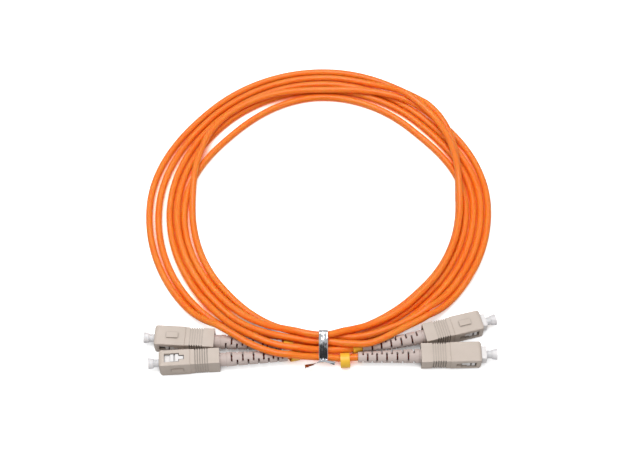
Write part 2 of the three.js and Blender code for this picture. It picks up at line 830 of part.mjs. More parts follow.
// The strand's free stretch from inside a plug to the tie, as a curve.
function freeCurve(plug_name, tie_point) {
  const place = plug_places[plug_name];
  const inside = [jacket_front, crimp_rear, (crimp_rear + boot_rear) / 2, boot_rear];
  const points = inside.map((x) => plugAxisPoint(place, x));
  points.push(plugAxisPoint(place, boot_rear - cord_radius));
  const route = free_routes[plug_name].map(([x, y, z]) => fromTie(x, y, z));
  const outward = Math.sign(place.face[0]);
  const end = tie_point.clone().add(new THREE.Vector3((outward * seat_gap) / 2, 0, 0));
  const straight = end.clone().add(new THREE.Vector3(outward * cord_radius, 0, 0));
  route.sort((p, q) => Math.abs(q.x) - Math.abs(p.x));
  return new THREE.CatmullRomCurve3([...points, ...route, straight, end], false, "centripetal");
}

// What the coil has to clear: boots, the free stretches and the grip housings, as balls strung
// along each of them.
function strungAlong(curve_point, radius_at, count, joins) {
  const balls = [];
  for (let i = 0; i <= count; i += 1) {
    const share = i / count;
    balls.push({ centre: curve_point(share), radius: radius_at(share), joins });
  }
  return balls;
}

function obstacles(free_curves) {
  const balls = [];
  for (const [name, place] of Object.entries(plug_places)) {
    const bootPoint = (share) => (
      plugAxisPoint(place, THREE.MathUtils.lerp(boot_front, boot_rear, share))
    );
    const bootGirth = (share) => (
      bootRadius(THREE.MathUtils.lerp(boot_front, boot_rear, share))
    );
    balls.push(...strungAlong(bootPoint, bootGirth, balls_along.boot, null));
    const curve = free_curves[name];
    const ring = marker_rings[name];
    const length = curve.getLength();
    const ring_front = jacket_front - boot_rear + ring.setback - seat_gap;
    const ring_rear = ring_front + ring_width + 2 * seat_gap;
    const cordGirth = (share) => {
      const along = share * length;
      return along > ring_front && along < ring_rear ? ring.diameter / 2 : cord_radius;
    };
    const leadPoint = (share) => curve.getPointAt(share);
    balls.push(...strungAlong(leadPoint, cordGirth, balls_along.lead, name));
    const edge_y = housing_width / 2 - housing_edge_radius;
    const edge_z = housing_height / 2 - housing_edge_radius;
    const strings = [[0, 0, housing_height / 2]];
    for (const side of [-1, 1]) {
      strings.push([(side * (housing_width - housing_height)) / 2, 0, housing_height / 2]);
      strings.push([side * edge_y, edge_z, housing_edge_radius]);
      strings.push([side * edge_y, -edge_z, housing_edge_radius]);
    }
    for (const [y, z, radius] of strings) {
      const shellPoint = (share) => {
        const x = -share * housing_length - place.slid;
        return new THREE.Vector3(x, y, z).applyMatrix4(plugMatrix(place));
      };
      balls.push(...strungAlong(shellPoint, () => radius, balls_along.housing, null));
    }
  }
  return balls;
}

// Lays both strands' turns: plan from the table, heights from what each turn rests on.
function layCoil() {
  const total = turns * fine_steps;
  const names = Object.keys(strands);
  const laid = {};
  for (const name of names) {
    laid[name] = [];
    for (let k = 0; k <= total; k += 1) {
      const turn = Math.min(Math.floor(k / fine_steps), turns - 1);
      const azimuth = ((k - turn * fine_steps) / fine_steps) * 360;
      const radius = coil_radius + betweenAzimuths(coil_turns[name][turn].drift, azimuth);
      const rank = betweenAzimuths(coil_turns[name][turn].rank, azimuth);
      const height = surfaceHeight(azimuth, radius);
      laid[name].push({ azimuth, radius, rank, height, floor: height });
    }
  }
  const planPoint = (spot) => new THREE.Vector3(
    spot.radius * Math.sin(spot.azimuth * degrees),
    -spot.radius * Math.cos(spot.azimuth * degrees),
    spot.height,
  );
  const tiePoints = {};
  const curves = {};
  for (const name of names) {
    const { from, to } = strands[name];
    const first = laid[name][0];
    const last = laid[name][total];
    last.floor = tie_end_height[to];
    last.height = last.floor;
    last.pinned = true;
    tiePoints[from] = planPoint(first);
    tiePoints[to] = planPoint(last);
    curves[from] = freeCurve(from, tiePoints[from]);
    curves[to] = freeCurve(to, tiePoints[to]);
  }
  const balls = obstacles(curves);
  const clearance = cord_diameter + turn_gap;

  // Raises one spot over the balls near it, apart from those of the stretch that it joins.
  const nearBalls = (name, k) => {
    const spot = laid[name][k];
    const place = planPoint(spot);
    const { from, to } = strands[name];
    const near_start = k < fine_steps / 4;
    const near_end = k > total - fine_steps / 4;
    return balls.filter((ball) => {
      const own = (ball.joins === from && near_start) || (ball.joins === to && near_end);
      const reach = ball.radius + cord_radius + seat_gap;
      const dx = ball.centre.x - place.x;
      const dy = ball.centre.y - place.y;
      return !own && dx * dx + dy * dy < reach * reach;
    });
  };
  const around = {};
  for (const name of names) {
    around[name] = laid[name].map((spot, k) => nearBalls(name, k));
  }
  const liftOverBalls = (name, k) => {
    const spot = laid[name][k];
    const place = planPoint(spot);
    for (const ball of around[name][k]) {
      const reach = ball.radius + cord_radius + seat_gap;
      const flat = Math.hypot(ball.centre.x - place.x, ball.centre.y - place.y);
      const apart = Math.hypot(flat, spot.height - ball.centre.z);
      if (apart < reach) {
        const over = ball.centre.z + Math.sqrt(reach * reach - flat * flat);
        spot.height = Math.max(spot.height, over);
      }
    }
  };
  const stationSpots = (station) => {
    const spots = [];
    for (const name of names) {
      for (let k = station; k <= total; k += fine_steps) {
        spots.push({ name, k, spot: laid[name][k] });
      }
    }
    return spots.sort((p, q) => p.spot.rank - q.spot.rank);
  };
  const settle = () => {
    for (let station = 0; station < fine_steps; station += 1) {
      const spots = stationSpots(station);
      spots.forEach((upper, i) => {
        if (upper.spot.pinned) {
          return;
        }
        upper.spot.height = Math.max(upper.spot.height, upper.spot.floor);
        liftOverBalls(upper.name, upper.k);
        for (const lower of spots.slice(0, i)) {
          const apart = Math.abs(upper.spot.radius - lower.spot.radius);
          if (apart < clearance) {
            const over = lower.spot.height + Math.sqrt(clearance ** 2 - apart ** 2);
            upper.spot.height = Math.max(upper.spot.height, over);
          }
        }
      });
    }
  };
  settle();
  for (let pass = 0; pass < settling_passes; pass += 1) {
    for (const name of names) {
      const before = laid[name].map((spot) => spot.height);
      for (let k = 1; k < total; k += 1) {
        laid[name][k].height = (before[k - 1] + 2 * before[k] + before[k + 1]) / 4;
      }
    }
    settle();
  }
  return { laid, planPoint, curves };
}

// Least distance between tube surfaces, measured on points of their axes.
function leastGap(points_a, points_b, skip) {
  let least = Infinity;
  points_a.forEach((p, i) => {
    points_b.forEach((q, j) => {
      if (points_a !== points_b || Math.abs(i - j) > skip) {
        least = Math.min(least, p.distanceTo(q));
      }
    });
  });
  return least - cord_diameter;
}

function coilPoints(laid, planPoint) {
  const chosen = laid.filter((spot, k) => {
    const from_tie = Math.min(k % fine_steps, fine_steps - (k % fine_steps));
    return k % (from_tie < close_reach ? close_stride : open_stride) === 0;
  });
  const points = chosen.map(planPoint);
  const end_gap = new THREE.Vector3(seat_gap / 2, 0, 0);
  const straight = new THREE.Vector3(cord_diameter, 0, 0);
  const first = points[0].clone().add(end_gap);
  const last = points[points.length - 1].clone().sub(end_gap);
  points[0] = first;
  points[points.length - 1] = last;
  points.splice(1, 0, first.clone().add(straight));
  points.splice(points.length - 1, 0, last.clone().sub(straight));
  return points;
}

// ---------------------------------------------------------------------------------------------
// Twist tie and marker rings
// ---------------------------------------------------------------------------------------------

// The tight outline round circles: the hull of points on them.
function wrapOutline(centres, radius) {
  const points = [];
  for (const [y, z] of centres) {
    for (let i = 0; i < wrap_steps; i += 1) {
      const turn = (i / wrap_steps) * 2 * Math.PI;
      points.push(new THREE.Vector2(y + radius * Math.cos(turn), z + radius * Math.sin(turn)));
    }
  }
  points.sort((p, q) => p.x - q.x || p.y - q.y);
  const cross = (o, a, b) => (a.x - o.x) * (b.y - o.y) - (a.y - o.y) * (b.x - o.x);
  const chain = (list) => {
    const hull = [];
    for (const p of list) {
      while (hull.length > 1 && cross(hull[hull.length - 2], hull[hull.length - 1], p) <= 1e-9) {
        hull.pop();
      }
      hull.push(p);
    }
    hull.pop();
    return hull;
  };
  return [...chain(points), ...chain([...points].reverse())];
}

// A flat ribbon through the given sections, each [x, y, z, twist], joined into one body.
function ribbon(sections, width, thickness) {
  const points = sections.map(([x, y, z]) => new THREE.Vector3(x, y, z));
  const vertices = [];
  const faces = [];
  points.forEach((point, i) => {
    const before = points[Math.max(i - 1, 0)];
    const after = points[Math.min(i + 1, points.length - 1)];
    const along = after.clone().sub(before).normalize();
    const flat = new THREE.Vector3(0, 1, 0).applyAxisAngle(along, sections[i][3] * degrees);
    const side = flat.addScaledVector(along, -flat.dot(along)).normalize();
    const up = along.clone().cross(side);
    for (const [a, b] of [[-1, -1], [1, -1], [1, 1], [-1, 1]]) {
      const corner = point.clone()
        .addScaledVector(side, (a * width) / 2)
        .addScaledVector(up, (b * thickness) / 2);
      vertices.push(corner.x, corner.y, corner.z);
    }
  });
  const rings = points.length;
  for (let i = 0; i < rings - 1; i += 1) {
    for (let k = 0; k < 4; k += 1) {
      const a = i * 4 + k;
      const b = i * 4 + ((k + 1) % 4);
      faces.push(a, b, b + 4, a, b + 4, a + 4);
    }
  }
  const last = (rings - 1) * 4;
  faces.push(0, 2, 1, 0, 3, 2, last, last + 1, last + 2, last, last + 2, last + 3);
  const geometry = new THREE.BufferGeometry();
  geometry.setAttribute("position", new THREE.Float32BufferAttribute(vertices, 3));
  geometry.setIndex(faces);
  return geometry;
}

function twistTie(centres) {
  const inner = wrapOutline(centres, cord_radius + tie_gap);
  const outer = wrapOutline(centres, cord_radius + tie_gap + tie_thickness);
  const shape = new THREE.Shape(outer);
  shape.holes.push(new THREE.Path(inner));
  const band = bar(shape, -tie_width / 2, tie_width / 2);
  const front_strand = Math.min(...centres.map(([y]) => y));
  const root_y = front_strand - cord_radius - seat_gap - tie_tail_thickness / 2;
  const root_z = tie_end_height.front_right + tie_tail_rise;
  let tie = toSolid(band);
  for (const { width, sections } of Object.values(tie_tails)) {
    const placed = sections.map(([x, y, z, twist]) => [x, root_y + y, root_z + z, twist]);
    tie = tie.add(toSolid(ribbon(placed, width, tie_tail_thickness)));
  }
  return toGeometry(tie);
}

function markerRing(ring, curve) {
  const outer = ring.diameter / 2;
  const inner = outer - ring_wall;
  const length = ring_width;
  const geometry = revolve([
    [0, inner], [length, inner], [length, outer], [0, outer],
  ], sides_of_bore);
  const total = curve.getLength();
  const inside = boot_rear - jacket_front;
  const near = (-inside + ring.setback) / total;
  const far = (-inside + ring.setback + length) / total;
  const start = curve.getPointAt(near);
  const end = curve.getPointAt(far);
  const along = end.clone().sub(start).normalize();
  const side = new THREE.Vector3(0, 0, 1).cross(along).normalize();
  const up = along.clone().cross(side);
  const toward_viewer = side.y > 0 ? -1 : 1;
  const frame = new THREE.Matrix4().makeBasis(along, side, up);
  const shifted = start.clone()
    .addScaledVector(side, toward_viewer * ring.lean)
    .addScaledVector(up, -ring.drop);
  return geometry.applyMatrix4(frame.setPosition(shifted));
}

// ---------------------------------------------------------------------------------------------
// The assembly
// ---------------------------------------------------------------------------------------------

const assembly = new THREE.Group();
const plugs = new THREE.Group();
let spring_gap = Infinity;

for (const [name, place] of Object.entries(plug_places)) {
  const plug = new THREE.Group();
  plug.applyMatrix4(plugMatrix(place));
  const shell = mesh(`${name}_outer_housing`, gripHousing(), finishes.beige());
  shell.position.x = -place.slid;
  const spring = ferruleSpring();
  spring_gap = Math.min(spring_gap, spring.least);
  plug.add(
    shell,
    mesh(`${name}_inner_housing`, plugFrame(), finishes.white()),
    mesh(`${name}_ferrule`, ferrule(), finishes.zirconia()),
    mesh(`${name}_ferrule_flange`, ferruleFlange(), finishes.nickel()),
    mesh(`${name}_buffered_fibre`, fibre(), finishes.fibre()),
    mesh(`${name}_ferrule_spring`, spring.geometry, finishes.steel()),
    mesh(`${name}_stop_body`, stopBody(), finishes.nickel()),
    mesh(`${name}_crimp_sleeve`, crimpSleeve(), finishes.nickel()),
    mesh(`${name}_boot`, boot(place), finishes.boot()),
    mesh(`${name}_dust_cap`, dustCap(), finishes.cap()),
  );
  plugs.add(plug);
}
assembly.add(plugs);

const coil = layCoil();
const coil_axes = {};
for (const name of Object.keys(strands)) {
  const points = coilPoints(coil.laid[name], coil.planPoint);
  coil_axes[name] = coil.laid[name].map(coil.planPoint);
  const up = new THREE.Vector3(0, 0, 1);
  const tube = sweep(points, cord_radius, loop_sides, up);
  assembly.add(mesh(`${name}_coil`, tube, finishes.jacket()));
}

const section = new THREE.Shape();
for (let i = 0; i < sides_of_lead; i += 1) {
  const turn = ((i + 0.5) / sides_of_lead) * 2 * Math.PI;
  const corner = [cord_radius * Math.cos(turn), cord_radius * Math.sin(turn)];
  if (i) {
    section.lineTo(...corner);
  } else {
    section.moveTo(...corner);
  }
}
for (const [name, curve] of Object.entries(coil.curves)) {
  const steps = Math.ceil(curve.getLength() / (2 * cord_diameter));
  const tube = new THREE.ExtrudeGeometry(section, { steps, extrudePath: curve });
  assembly.add(mesh(`${name}_lead`, tube, finishes.jacket()));
  assembly.add(mesh(`${name}_marker_ring`, markerRing(marker_rings[name], curve),
    finishes.marker()));
}

const at_tie = Object.values(coil.laid).flatMap((spots) => (
  spots.filter((spot, k) => k % fine_steps === 0)
));
const tie_centres = at_tie.map((spot) => [-spot.radius, spot.height]);
assembly.add(mesh("twist_tie", twistTie(tie_centres), finishes.foil()));

// The origin is on the surface, under the middle of the four plugs.
assembly.updateMatrixWorld(true);
const middle = new THREE.Box3().setFromObject(plugs, true).getCenter(new THREE.Vector3());
assembly.position.set(-middle.x, -middle.y, 0);

const strand_lengths = Object.entries(strands).map(([name, { from, to }]) => {
  const wound = coil_axes[name].reduce((sum, point, i, list) => (
    i ? sum + point.distanceTo(list[i - 1]) : 0
  ), 0);
  const loose = coil.curves[from].getLength() + coil.curves[to].getLength();
  return `${name} ${(wound + loose).toFixed(0)} mm (coil ${wound.toFixed(0)})`;
});
const { strand_a, strand_b } = coil_axes;
const far_along = fine_steps / 4;
console.log("coil, least gap of strand_a to itself, mm:",
  leastGap(strand_a, strand_a, far_along).toFixed(2));
console.log("coil, least gap of strand_b to itself, mm:",
  leastGap(strand_b, strand_b, far_along).toFixed(2));
console.log("coil, least gap of strand_a to strand_b, mm:",
  leastGap(strand_a, strand_b, far_along).toFixed(2));
console.log("ferrule springs, least gap between curls, mm:", spring_gap.toFixed(2));
console.log("strand lengths between the crimps:", strand_lengths.join(", "));

const group = new THREE.Group();
group.add(assembly);
export default group;
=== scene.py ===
# %% [markdown]
# # A duplex fibre optic patch cord, coiled and tied
#
# Two orange strands, each with one glass fibre, end in square push-pull plugs. The strands are
# wound together in three turns and a foil twist tie holds them. This lesson dresses the
# engineering model of that cord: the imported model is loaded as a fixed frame, and each visible
# piece is either finished in place or made again with the roundness that a close look needs.

import math

import bmesh
import bpy
import numpy as np
from mathutils import Matrix, Vector

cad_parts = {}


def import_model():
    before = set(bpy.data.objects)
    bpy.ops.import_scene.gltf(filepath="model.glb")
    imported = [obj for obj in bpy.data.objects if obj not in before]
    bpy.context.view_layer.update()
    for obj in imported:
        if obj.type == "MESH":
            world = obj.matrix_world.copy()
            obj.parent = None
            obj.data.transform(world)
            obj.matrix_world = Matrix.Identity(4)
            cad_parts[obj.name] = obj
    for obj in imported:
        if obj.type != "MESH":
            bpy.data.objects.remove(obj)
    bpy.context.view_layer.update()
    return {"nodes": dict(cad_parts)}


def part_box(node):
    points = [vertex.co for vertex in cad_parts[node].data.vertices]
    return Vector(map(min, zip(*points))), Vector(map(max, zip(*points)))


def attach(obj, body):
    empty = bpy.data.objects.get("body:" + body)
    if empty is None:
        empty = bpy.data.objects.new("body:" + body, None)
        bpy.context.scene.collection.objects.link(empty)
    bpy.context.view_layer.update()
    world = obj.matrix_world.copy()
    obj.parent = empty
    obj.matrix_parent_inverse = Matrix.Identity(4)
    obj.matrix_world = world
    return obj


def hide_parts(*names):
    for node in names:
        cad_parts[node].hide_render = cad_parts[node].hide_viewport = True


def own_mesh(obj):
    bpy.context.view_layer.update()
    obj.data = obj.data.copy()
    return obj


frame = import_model()
MM = 0.001

# %% [markdown]
# ## Where the coil is
#
# The routes are measured from the middle of the coil, and the frame's origin is under the middle
# of the plugs. One crimp sleeve is known in both, so it gives the shift between them.

# %% The plugs' places, and the shift from the coil to the frame
# Each face is measured from the bundle's middle at the tie, in millimetres and degrees.
COIL_RADIUS = 67.0
PLUGS = {
    "back_left": dict(face=(-70.3, -0.6), heading=176.6, roll=0, boot_roll=0, boot_bend=0),
    "front_left": dict(face=(-67.8, -12.5), heading=183.6, roll=-90, boot_roll=0, boot_bend=0),
    "back_right": dict(face=(67.9, 7.1), heading=14.7, roll=0, boot_roll=45, boot_bend=-8),
    "front_right": dict(face=(67.4, -8.5), heading=1.4, roll=183, boot_roll=35, boot_bend=0),
}
SEAT_GAP = 0.3
STOP_FLANGE_REAR = -20.0
CRIMP_FRONT, CRIMP_LENGTH = STOP_FLANGE_REAR - SEAT_GAP, 8.4
CRIMP_REAR = CRIMP_FRONT - CRIMP_LENGTH

low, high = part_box("back_left_crimp_sleeve")
known = PLUGS["back_left"]
heading = math.radians(known["heading"])
sleeve_middle = CRIMP_FRONT - CRIMP_LENGTH / 2
SHIFT = Vector((
    (low[0] + high[0]) / 2 / MM - (known["face"][0] + sleeve_middle * math.cos(heading)),
    (low[1] + high[1]) / 2 / MM - (known["face"][1] - COIL_RADIUS
                                   + sleeve_middle * math.sin(heading)),
    0,
))


def world(point):
    """A point in millimetres from the middle of the coil, in the frame's metres."""
    return (Vector(point) + SHIFT) * MM


print("shift from coil to frame, mm:", [round(v, 3) for v in SHIFT])

# %% [markdown]
# ## The camera
#
# The photograph looks down at the coil from 59 degrees above the table, through a lens of about
# 90 mm on a 36 mm sensor, 700 mm away. Those three values make the far side of the coil as much
# smaller than the near side as it is in the picture.

# %% The camera
def put_in_scene(name, data):
    """A new object in the scene, for a mesh, a lamp or a camera."""
    made = bpy.data.objects.new(name, data)
    bpy.context.scene.collection.objects.link(made)
    return made


ELEVATION = math.radians(59.0)
CAMERA_DISTANCE, LENS_MM, SENSOR_MM = 700.0, 90.06, 36.0
AIM = Vector((-1.4, -11.0, 0.0))
camera_data = bpy.data.cameras.new("photo_camera")
camera_data.lens = LENS_MM
camera_data.sensor_width = SENSOR_MM
camera = put_in_scene("photo_camera", camera_data)
camera.location = world(AIM + CAMERA_DISTANCE * Vector((0, -math.cos(ELEVATION),
                                                        math.sin(ELEVATION))))
camera.rotation_euler = (math.pi / 2 - ELEVATION, 0, 0)
bpy.context.scene.camera = camera
bpy.context.scene.view_settings.view_transform = "Standard"
print("camera at, m:", [round(v, 3) for v in camera.location])

# %% [markdown]
# ## The plug's own frame
#
# Each plug is drawn once, along its own X axis: the nose points to +X and the white plug frame's
# front face is at 0. A matrix per plug then lays it on the table, rolled as it lay. The rubber
# boot of one plug is swung a little to the side, along an arc.

# %% Plug sizes, in millimetres
HOUSING_LENGTH, HOUSING_WIDTH, HOUSING_HEIGHT = 25.0, 9.0, 7.4
HOUSING_EDGE, HOUSING_TRAVEL = 0.45, 2.3
KEY_RISE = 0.55
CORD_DIAMETER = 2.8
CORD_RADIUS = CORD_DIAMETER / 2
BOOT_FRONT = CRIMP_FRONT - SEAT_GAP
BOOT_LENGTH, BOOT_NECK_LENGTH = 32.5, 7.2
BOOT_REAR = BOOT_FRONT - BOOT_LENGTH
BOOT_SHOULDER = BOOT_FRONT - BOOT_NECK_LENGTH
BOOT_NECK, BOOT_WAIST, BOOT_TAIL = 2.8, 3.0, 2.2
STOP_TAIL_LENGTH = 5.8
STOP_REAR = STOP_FLANGE_REAR - STOP_TAIL_LENGTH
JACKET_FRONT = STOP_REAR - SEAT_GAP


def axis_height(place):
    """How high a plug's axis lies when its housing rests on the table at its roll."""
    c, s = math.cos(math.radians(place["roll"])), math.sin(math.radians(place["roll"]))
    body = ((HOUSING_HEIGHT / 2 - HOUSING_EDGE) * abs(c)
            + (HOUSING_WIDTH / 2 - HOUSING_EDGE) * abs(s) + HOUSING_EDGE)
    return body + KEY_RISE * max(0.0, -c)


def plug_matrix(place):
    """From the plug's own millimetres to millimetres from the middle of the coil."""
    x, y = place["face"]
    return (Matrix.Translation((x, y - COIL_RADIUS, axis_height(place)))
            @ Matrix.Rotation(math.radians(place["heading"]), 4, "Z")
            @ Matrix.Rotation(math.radians(place["roll"]), 4, "X"))


def swing(point, angle):
    """Bends what lies behind the crimp along an arc in the plug's X and Y."""
    along = CRIMP_REAR - point[0]
    if along <= 0 or angle == 0:
        return Vector(point)
    arc = CRIMP_REAR - BOOT_REAR
    radius = arc / math.radians(angle)
    turn = min(along, arc) / radius
    past = max(along - arc, 0)
    y = point[1]
    return Vector((
        CRIMP_REAR - (radius + y) * math.sin(turn) - past * math.cos(turn),
        y + (radius + y) * (math.cos(turn) - 1) - past * math.sin(turn),
        point[2],
    ))


def on_axis(place, x):
    """A point of the strand's axis inside the plug."""
    return plug_matrix(place) @ swing((x, 0, 0), place["boot_bend"])


def boot_radius(x):
    """The boot's outer radius: a neck for the housing, then a long taper."""
    if x > BOOT_SHOULDER:
        return BOOT_NECK
    share = (BOOT_SHOULDER - x) / (BOOT_SHOULDER - BOOT_REAR)
    return BOOT_WAIST + (BOOT_TAIL - BOOT_WAIST) * share


print("plug axes lie at, mm:", {n: round(axis_height(p), 2) for n, p in PLUGS.items()})

# %% [markdown]
# ## Where each turn of the coil lies
#
# A coil by hand is not a neat spiral: its turns drift across each other. Here each turn's drift
# off the coil's radius is given at sixteen azimuths, counted from the tie, and its rank says what
# lies on what there. The height is not given. It follows: a turn lies on the table unless it
# crosses one of lower rank, and then it rests on it.

# %% The turns, by azimuth from the tie
AZIMUTHS = [0, 7.5, 15, 30, 45, 90, 135, 180, 225, 270, 315, 330, 337.5, 345, 352.5, 360]
# For each turn: how far its axis lies off the coil's radius, in millimetres, and its rank.
TURNS = {
    "strand_a": [
        ([1.8, 0.6, -0.4, -2.4, -3.8, -4.4, -10.8, -9.8, -12.2, -6.3, -3.3, -1.5, -0.8, 0, 1,
          1.8],
         [0, 0, 0, 0, 0, 0, 0, 0, 0, 0, 0, 0.8, 1, 1.2, 1.6, 2]),
        ([1.8, -0.4, -1.8, -3.6, -5.4, -7.2, -0.7, 1.2, 1, 5, 7.5, 6.8, 4.3, 2, -0.1, -1.45],
         [2, 1.8, 1.5, 1, 1, 1, 1, 0.6, 0.6, 0, 0, 0, 0, 0, 0, 0]),
        ([-1.45, -2.65, -3.65, -5.7, -7, -7.6, 2.5, 4.5, 4.3, 9.2, 10.9, 10.6, 11.5, 12.2,
          11.2, 9.93],
         [0, 0, 0, 0, 0.1, 0.5, 0.9, 0.5, 0.5, 0.5, 1, 1.5, 1.8, 2, 1.5, 1]),
    ],
    "strand_b": [
        ([5.05, 3.85, 2.85, 0.9, -0.5, -1.1, -6, -6, -5.6, -3.1, 0, 2, 2.6, 3, 3.2, 3.43],
         [0, 0, 0, 0, 0, 0, 0, 0, 0, 0, 0, 0.6, 0.9, 1, 1, 1]),
        ([3.43, 5.4, 7.4, 5.2, 5.9, 5.3, 0.5, -7.6, -4.4, -9.6, -6.6, -4.4, -3.2, -2, -0.7,
          0.18],
         [1, 1.6, 2, 1.5, 0.1, 0.1, 0.3, 0.9, 0.9, 0.3, 0, 0.5, 0.7, 0.9, 1, 1]),
        ([0.18, 1.3, 2.1, 2.2, 2.7, 2.1, -2.7, -2.4, -2.2, 0.2, 3.3, 6.2, 7.4, 8, 7.5, 6.68],
         [1, 1, 1, 1, 0.2, 0, 0.1, 0.1, 0.1, 0.1, 0.3, 1, 1.3, 1.5, 1.3, 1]),
    ],
}
TURN_COUNT, STEPS = 3, 144
TOTAL = TURN_COUNT * STEPS
TIE_THICKNESS, TIE_GAP, TIE_LIFT_LENGTH = 0.4, 0.4, 16.0


def between(values, azimuth):
    """A smooth value between the marks, with no overshoot, level at the tie."""
    i = 0
    while i < len(AZIMUTHS) - 2 and azimuth > AZIMUTHS[i + 1]:
        i += 1

    def slope(k):
        if k in (0, len(AZIMUTHS) - 1):
            return 0
        left = (values[k] - values[k - 1]) / (AZIMUTHS[k] - AZIMUTHS[k - 1])
        right = (values[k + 1] - values[k]) / (AZIMUTHS[k + 1] - AZIMUTHS[k])
        return 2 * left * right / (left + right) if left * right > 0 else 0

    span = AZIMUTHS[i + 1] - AZIMUTHS[i]
    t = (azimuth - AZIMUTHS[i]) / span
    h = t * t * (3 - 2 * t)
    return (values[i] * (1 - h) + values[i + 1] * h
            + t * (1 - t) ** 2 * span * slope(i) - t * t * (1 - t) * span * slope(i + 1))


def surface_height(azimuth, radius):
    """The lowest that a strand's axis can lie: on the table, or on the tie's strip."""
    from_tie = math.radians(min(azimuth, 360 - azimuth)) * radius
    share = min(max(1 - from_tie / (TIE_LIFT_LENGTH / 2), 0), 1)
    return CORD_RADIUS + (TIE_THICKNESS + TIE_GAP) * share * share * (3 - 2 * share)


def plan_point(spot):
    """A spot of a turn as a point."""
    a = math.radians(spot["azimuth"])
    return Vector((spot["radius"] * math.sin(a), -spot["radius"] * math.cos(a),
                   spot["height"]))


laid = {}
for name, turns in TURNS.items():
    laid[name] = []
    for k in range(TOTAL + 1):
        turn = min(k // STEPS, TURN_COUNT - 1)
        azimuth = (k - turn * STEPS) / STEPS * 360
        drift, rank = (between(values, azimuth) for values in turns[turn])
        radius = COIL_RADIUS + drift
        height = surface_height(azimuth, radius)
        laid[name].append(dict(azimuth=azimuth, radius=radius, rank=rank, height=height,
                               floor=height, pinned=False))
print("spots laid on each strand:", len(laid["strand_a"]))

# %% [markdown]
# ## The free stretches
#
# Between each boot and the tie the strand runs free, along a few given points. A centripetal
# curve through them never loops or overshoots, so the cord keeps gentle bends.

# %% A curve through points, and measures along it
def centripetal(points, samples):
    """Points on a centripetal Catmull-Rom curve through the given ones."""
    points = [Vector(p) for p in points]
    ends = [points[0] * 2 - points[1], *points, points[-1] * 2 - points[-2]]
    out = []
    for i in range(len(points) - 1):
        p0, p1, p2, p3 = ends[i:i + 4]
        d0, d1, d2 = (max((b - a).length_squared ** 0.25, 1e-4)
                      for a, b in ((p0, p1), (p1, p2), (p2, p3)))
        m1 = ((p1 - p0) / d0 - (p2 - p0) / (d0 + d1) + (p2 - p1) / d1) * d1
        m2 = ((p2 - p1) / d1 - (p3 - p1) / (d1 + d2) + (p3 - p2) / d2) * d1
        for s in range(samples):
            t = s / samples
            out.append(p1 * (2 * t ** 3 - 3 * t * t + 1) + m1 * (t ** 3 - 2 * t * t + t)
                       + p2 * (-2 * t ** 3 + 3 * t * t) + m2 * (t ** 3 - t * t))
    return [*out, points[-1]]


def arc_lengths(points):
    """The distance along a line of points to each of them."""
    steps = [(b - a).length for a, b in zip(points, points[1:])]
    return np.concatenate([[0.0], np.cumsum(steps)])


def point_at(points, lengths, along):
    """The point that lies this far along a line of points."""
    i = int(np.clip(np.searchsorted(lengths, along) - 1, 0, len(points) - 2))
    share = (along - lengths[i]) / (lengths[i + 1] - lengths[i])
    return points[i].lerp(points[i + 1], share)


print("a bend through three points:", len(centripetal([(0, 0, 0), (1, 0, 0), (1, 1, 0)], 8)),
      "samples")

# %% From each plug to the tie
ENDS = {"strand_a": ("back_left", "front_right"), "strand_b": ("front_left", "back_right")}
TIE_END_HEIGHT = {"back_right": 5.0, "front_right": 4.7}
# Points that each free stretch passes, in millimetres from the bundle's middle at the tie.
FREE_ROUTES = {
    "back_left": [(-8, -2.9, 2.9), (-3.5, -2.0, 2.3)],
    "front_left": [(-8, -7.2, 3.1), (-3.8, -5.5, 2.3)],
    "back_right": [(12.5, -5.8, 4.1), (8, -6.3, 4.7), (3.5, -6.7, 5.0)],
    "front_right": [(8, -10.1, 4.0), (3.5, -10.0, 4.5)],
}
FREE_SAMPLES = 24


def free_line(plug, tie_point):
    """The strand from inside a plug to the tie."""
    place = PLUGS[plug]
    inside = [JACKET_FRONT, CRIMP_REAR, (CRIMP_REAR + BOOT_REAR) / 2, BOOT_REAR,
              BOOT_REAR - CORD_RADIUS]
    outward = math.copysign(1, place["face"][0])
    end = tie_point + Vector((outward * SEAT_GAP / 2, 0, 0))
    straight = end + Vector((outward * CORD_RADIUS, 0, 0))
    route = [(x, y - COIL_RADIUS, z) for x, y, z in FREE_ROUTES[plug]]
    return centripetal([*(on_axis(place, x) for x in inside), *route, straight, end],
                       FREE_SAMPLES)


lines = {}
for name, (start, stop) in ENDS.items():
    last = laid[name][TOTAL]
    last["floor"] = last["height"] = TIE_END_HEIGHT[stop]
    last["pinned"] = True
    for plug, spot in ((start, laid[name][0]), (stop, last)):
        lines[plug] = free_line(plug, plan_point(spot))
print("free stretches, mm:", {n: round(float(arc_lengths(p)[-1]), 1)
                              for n, p in lines.items()})

# %% [markdown]
# ## What the turns rest on
#
# The turns also ride over boots, marker rings and a corner of one housing. Each of those is a
# string of balls here, which is the simplest thing that a height can be worked out from.

# %% Balls along everything that the coil crosses
# Each ring's distance behind the boot, its size, and how far it hangs down and leans forward.
RINGS = {
    "back_left": dict(setback=0.7, diameter=4.0, drop=0, lean=0),
    "front_left": dict(setback=1.0, diameter=4.6, drop=0.2, lean=0.15),
    "back_right": dict(setback=0.5, diameter=4.0, drop=0, lean=0),
    "front_right": dict(setback=3.4, diameter=6.2, drop=0.55, lean=0.75),
}
RING_WIDTH = 3.9
BOOT_BALLS, LEAD_BALLS, HOUSING_BALLS = 60, 120, 55


def shares(count):
    """Even shares of a length, from 0 to 1."""
    return [i / count for i in range(count + 1)]


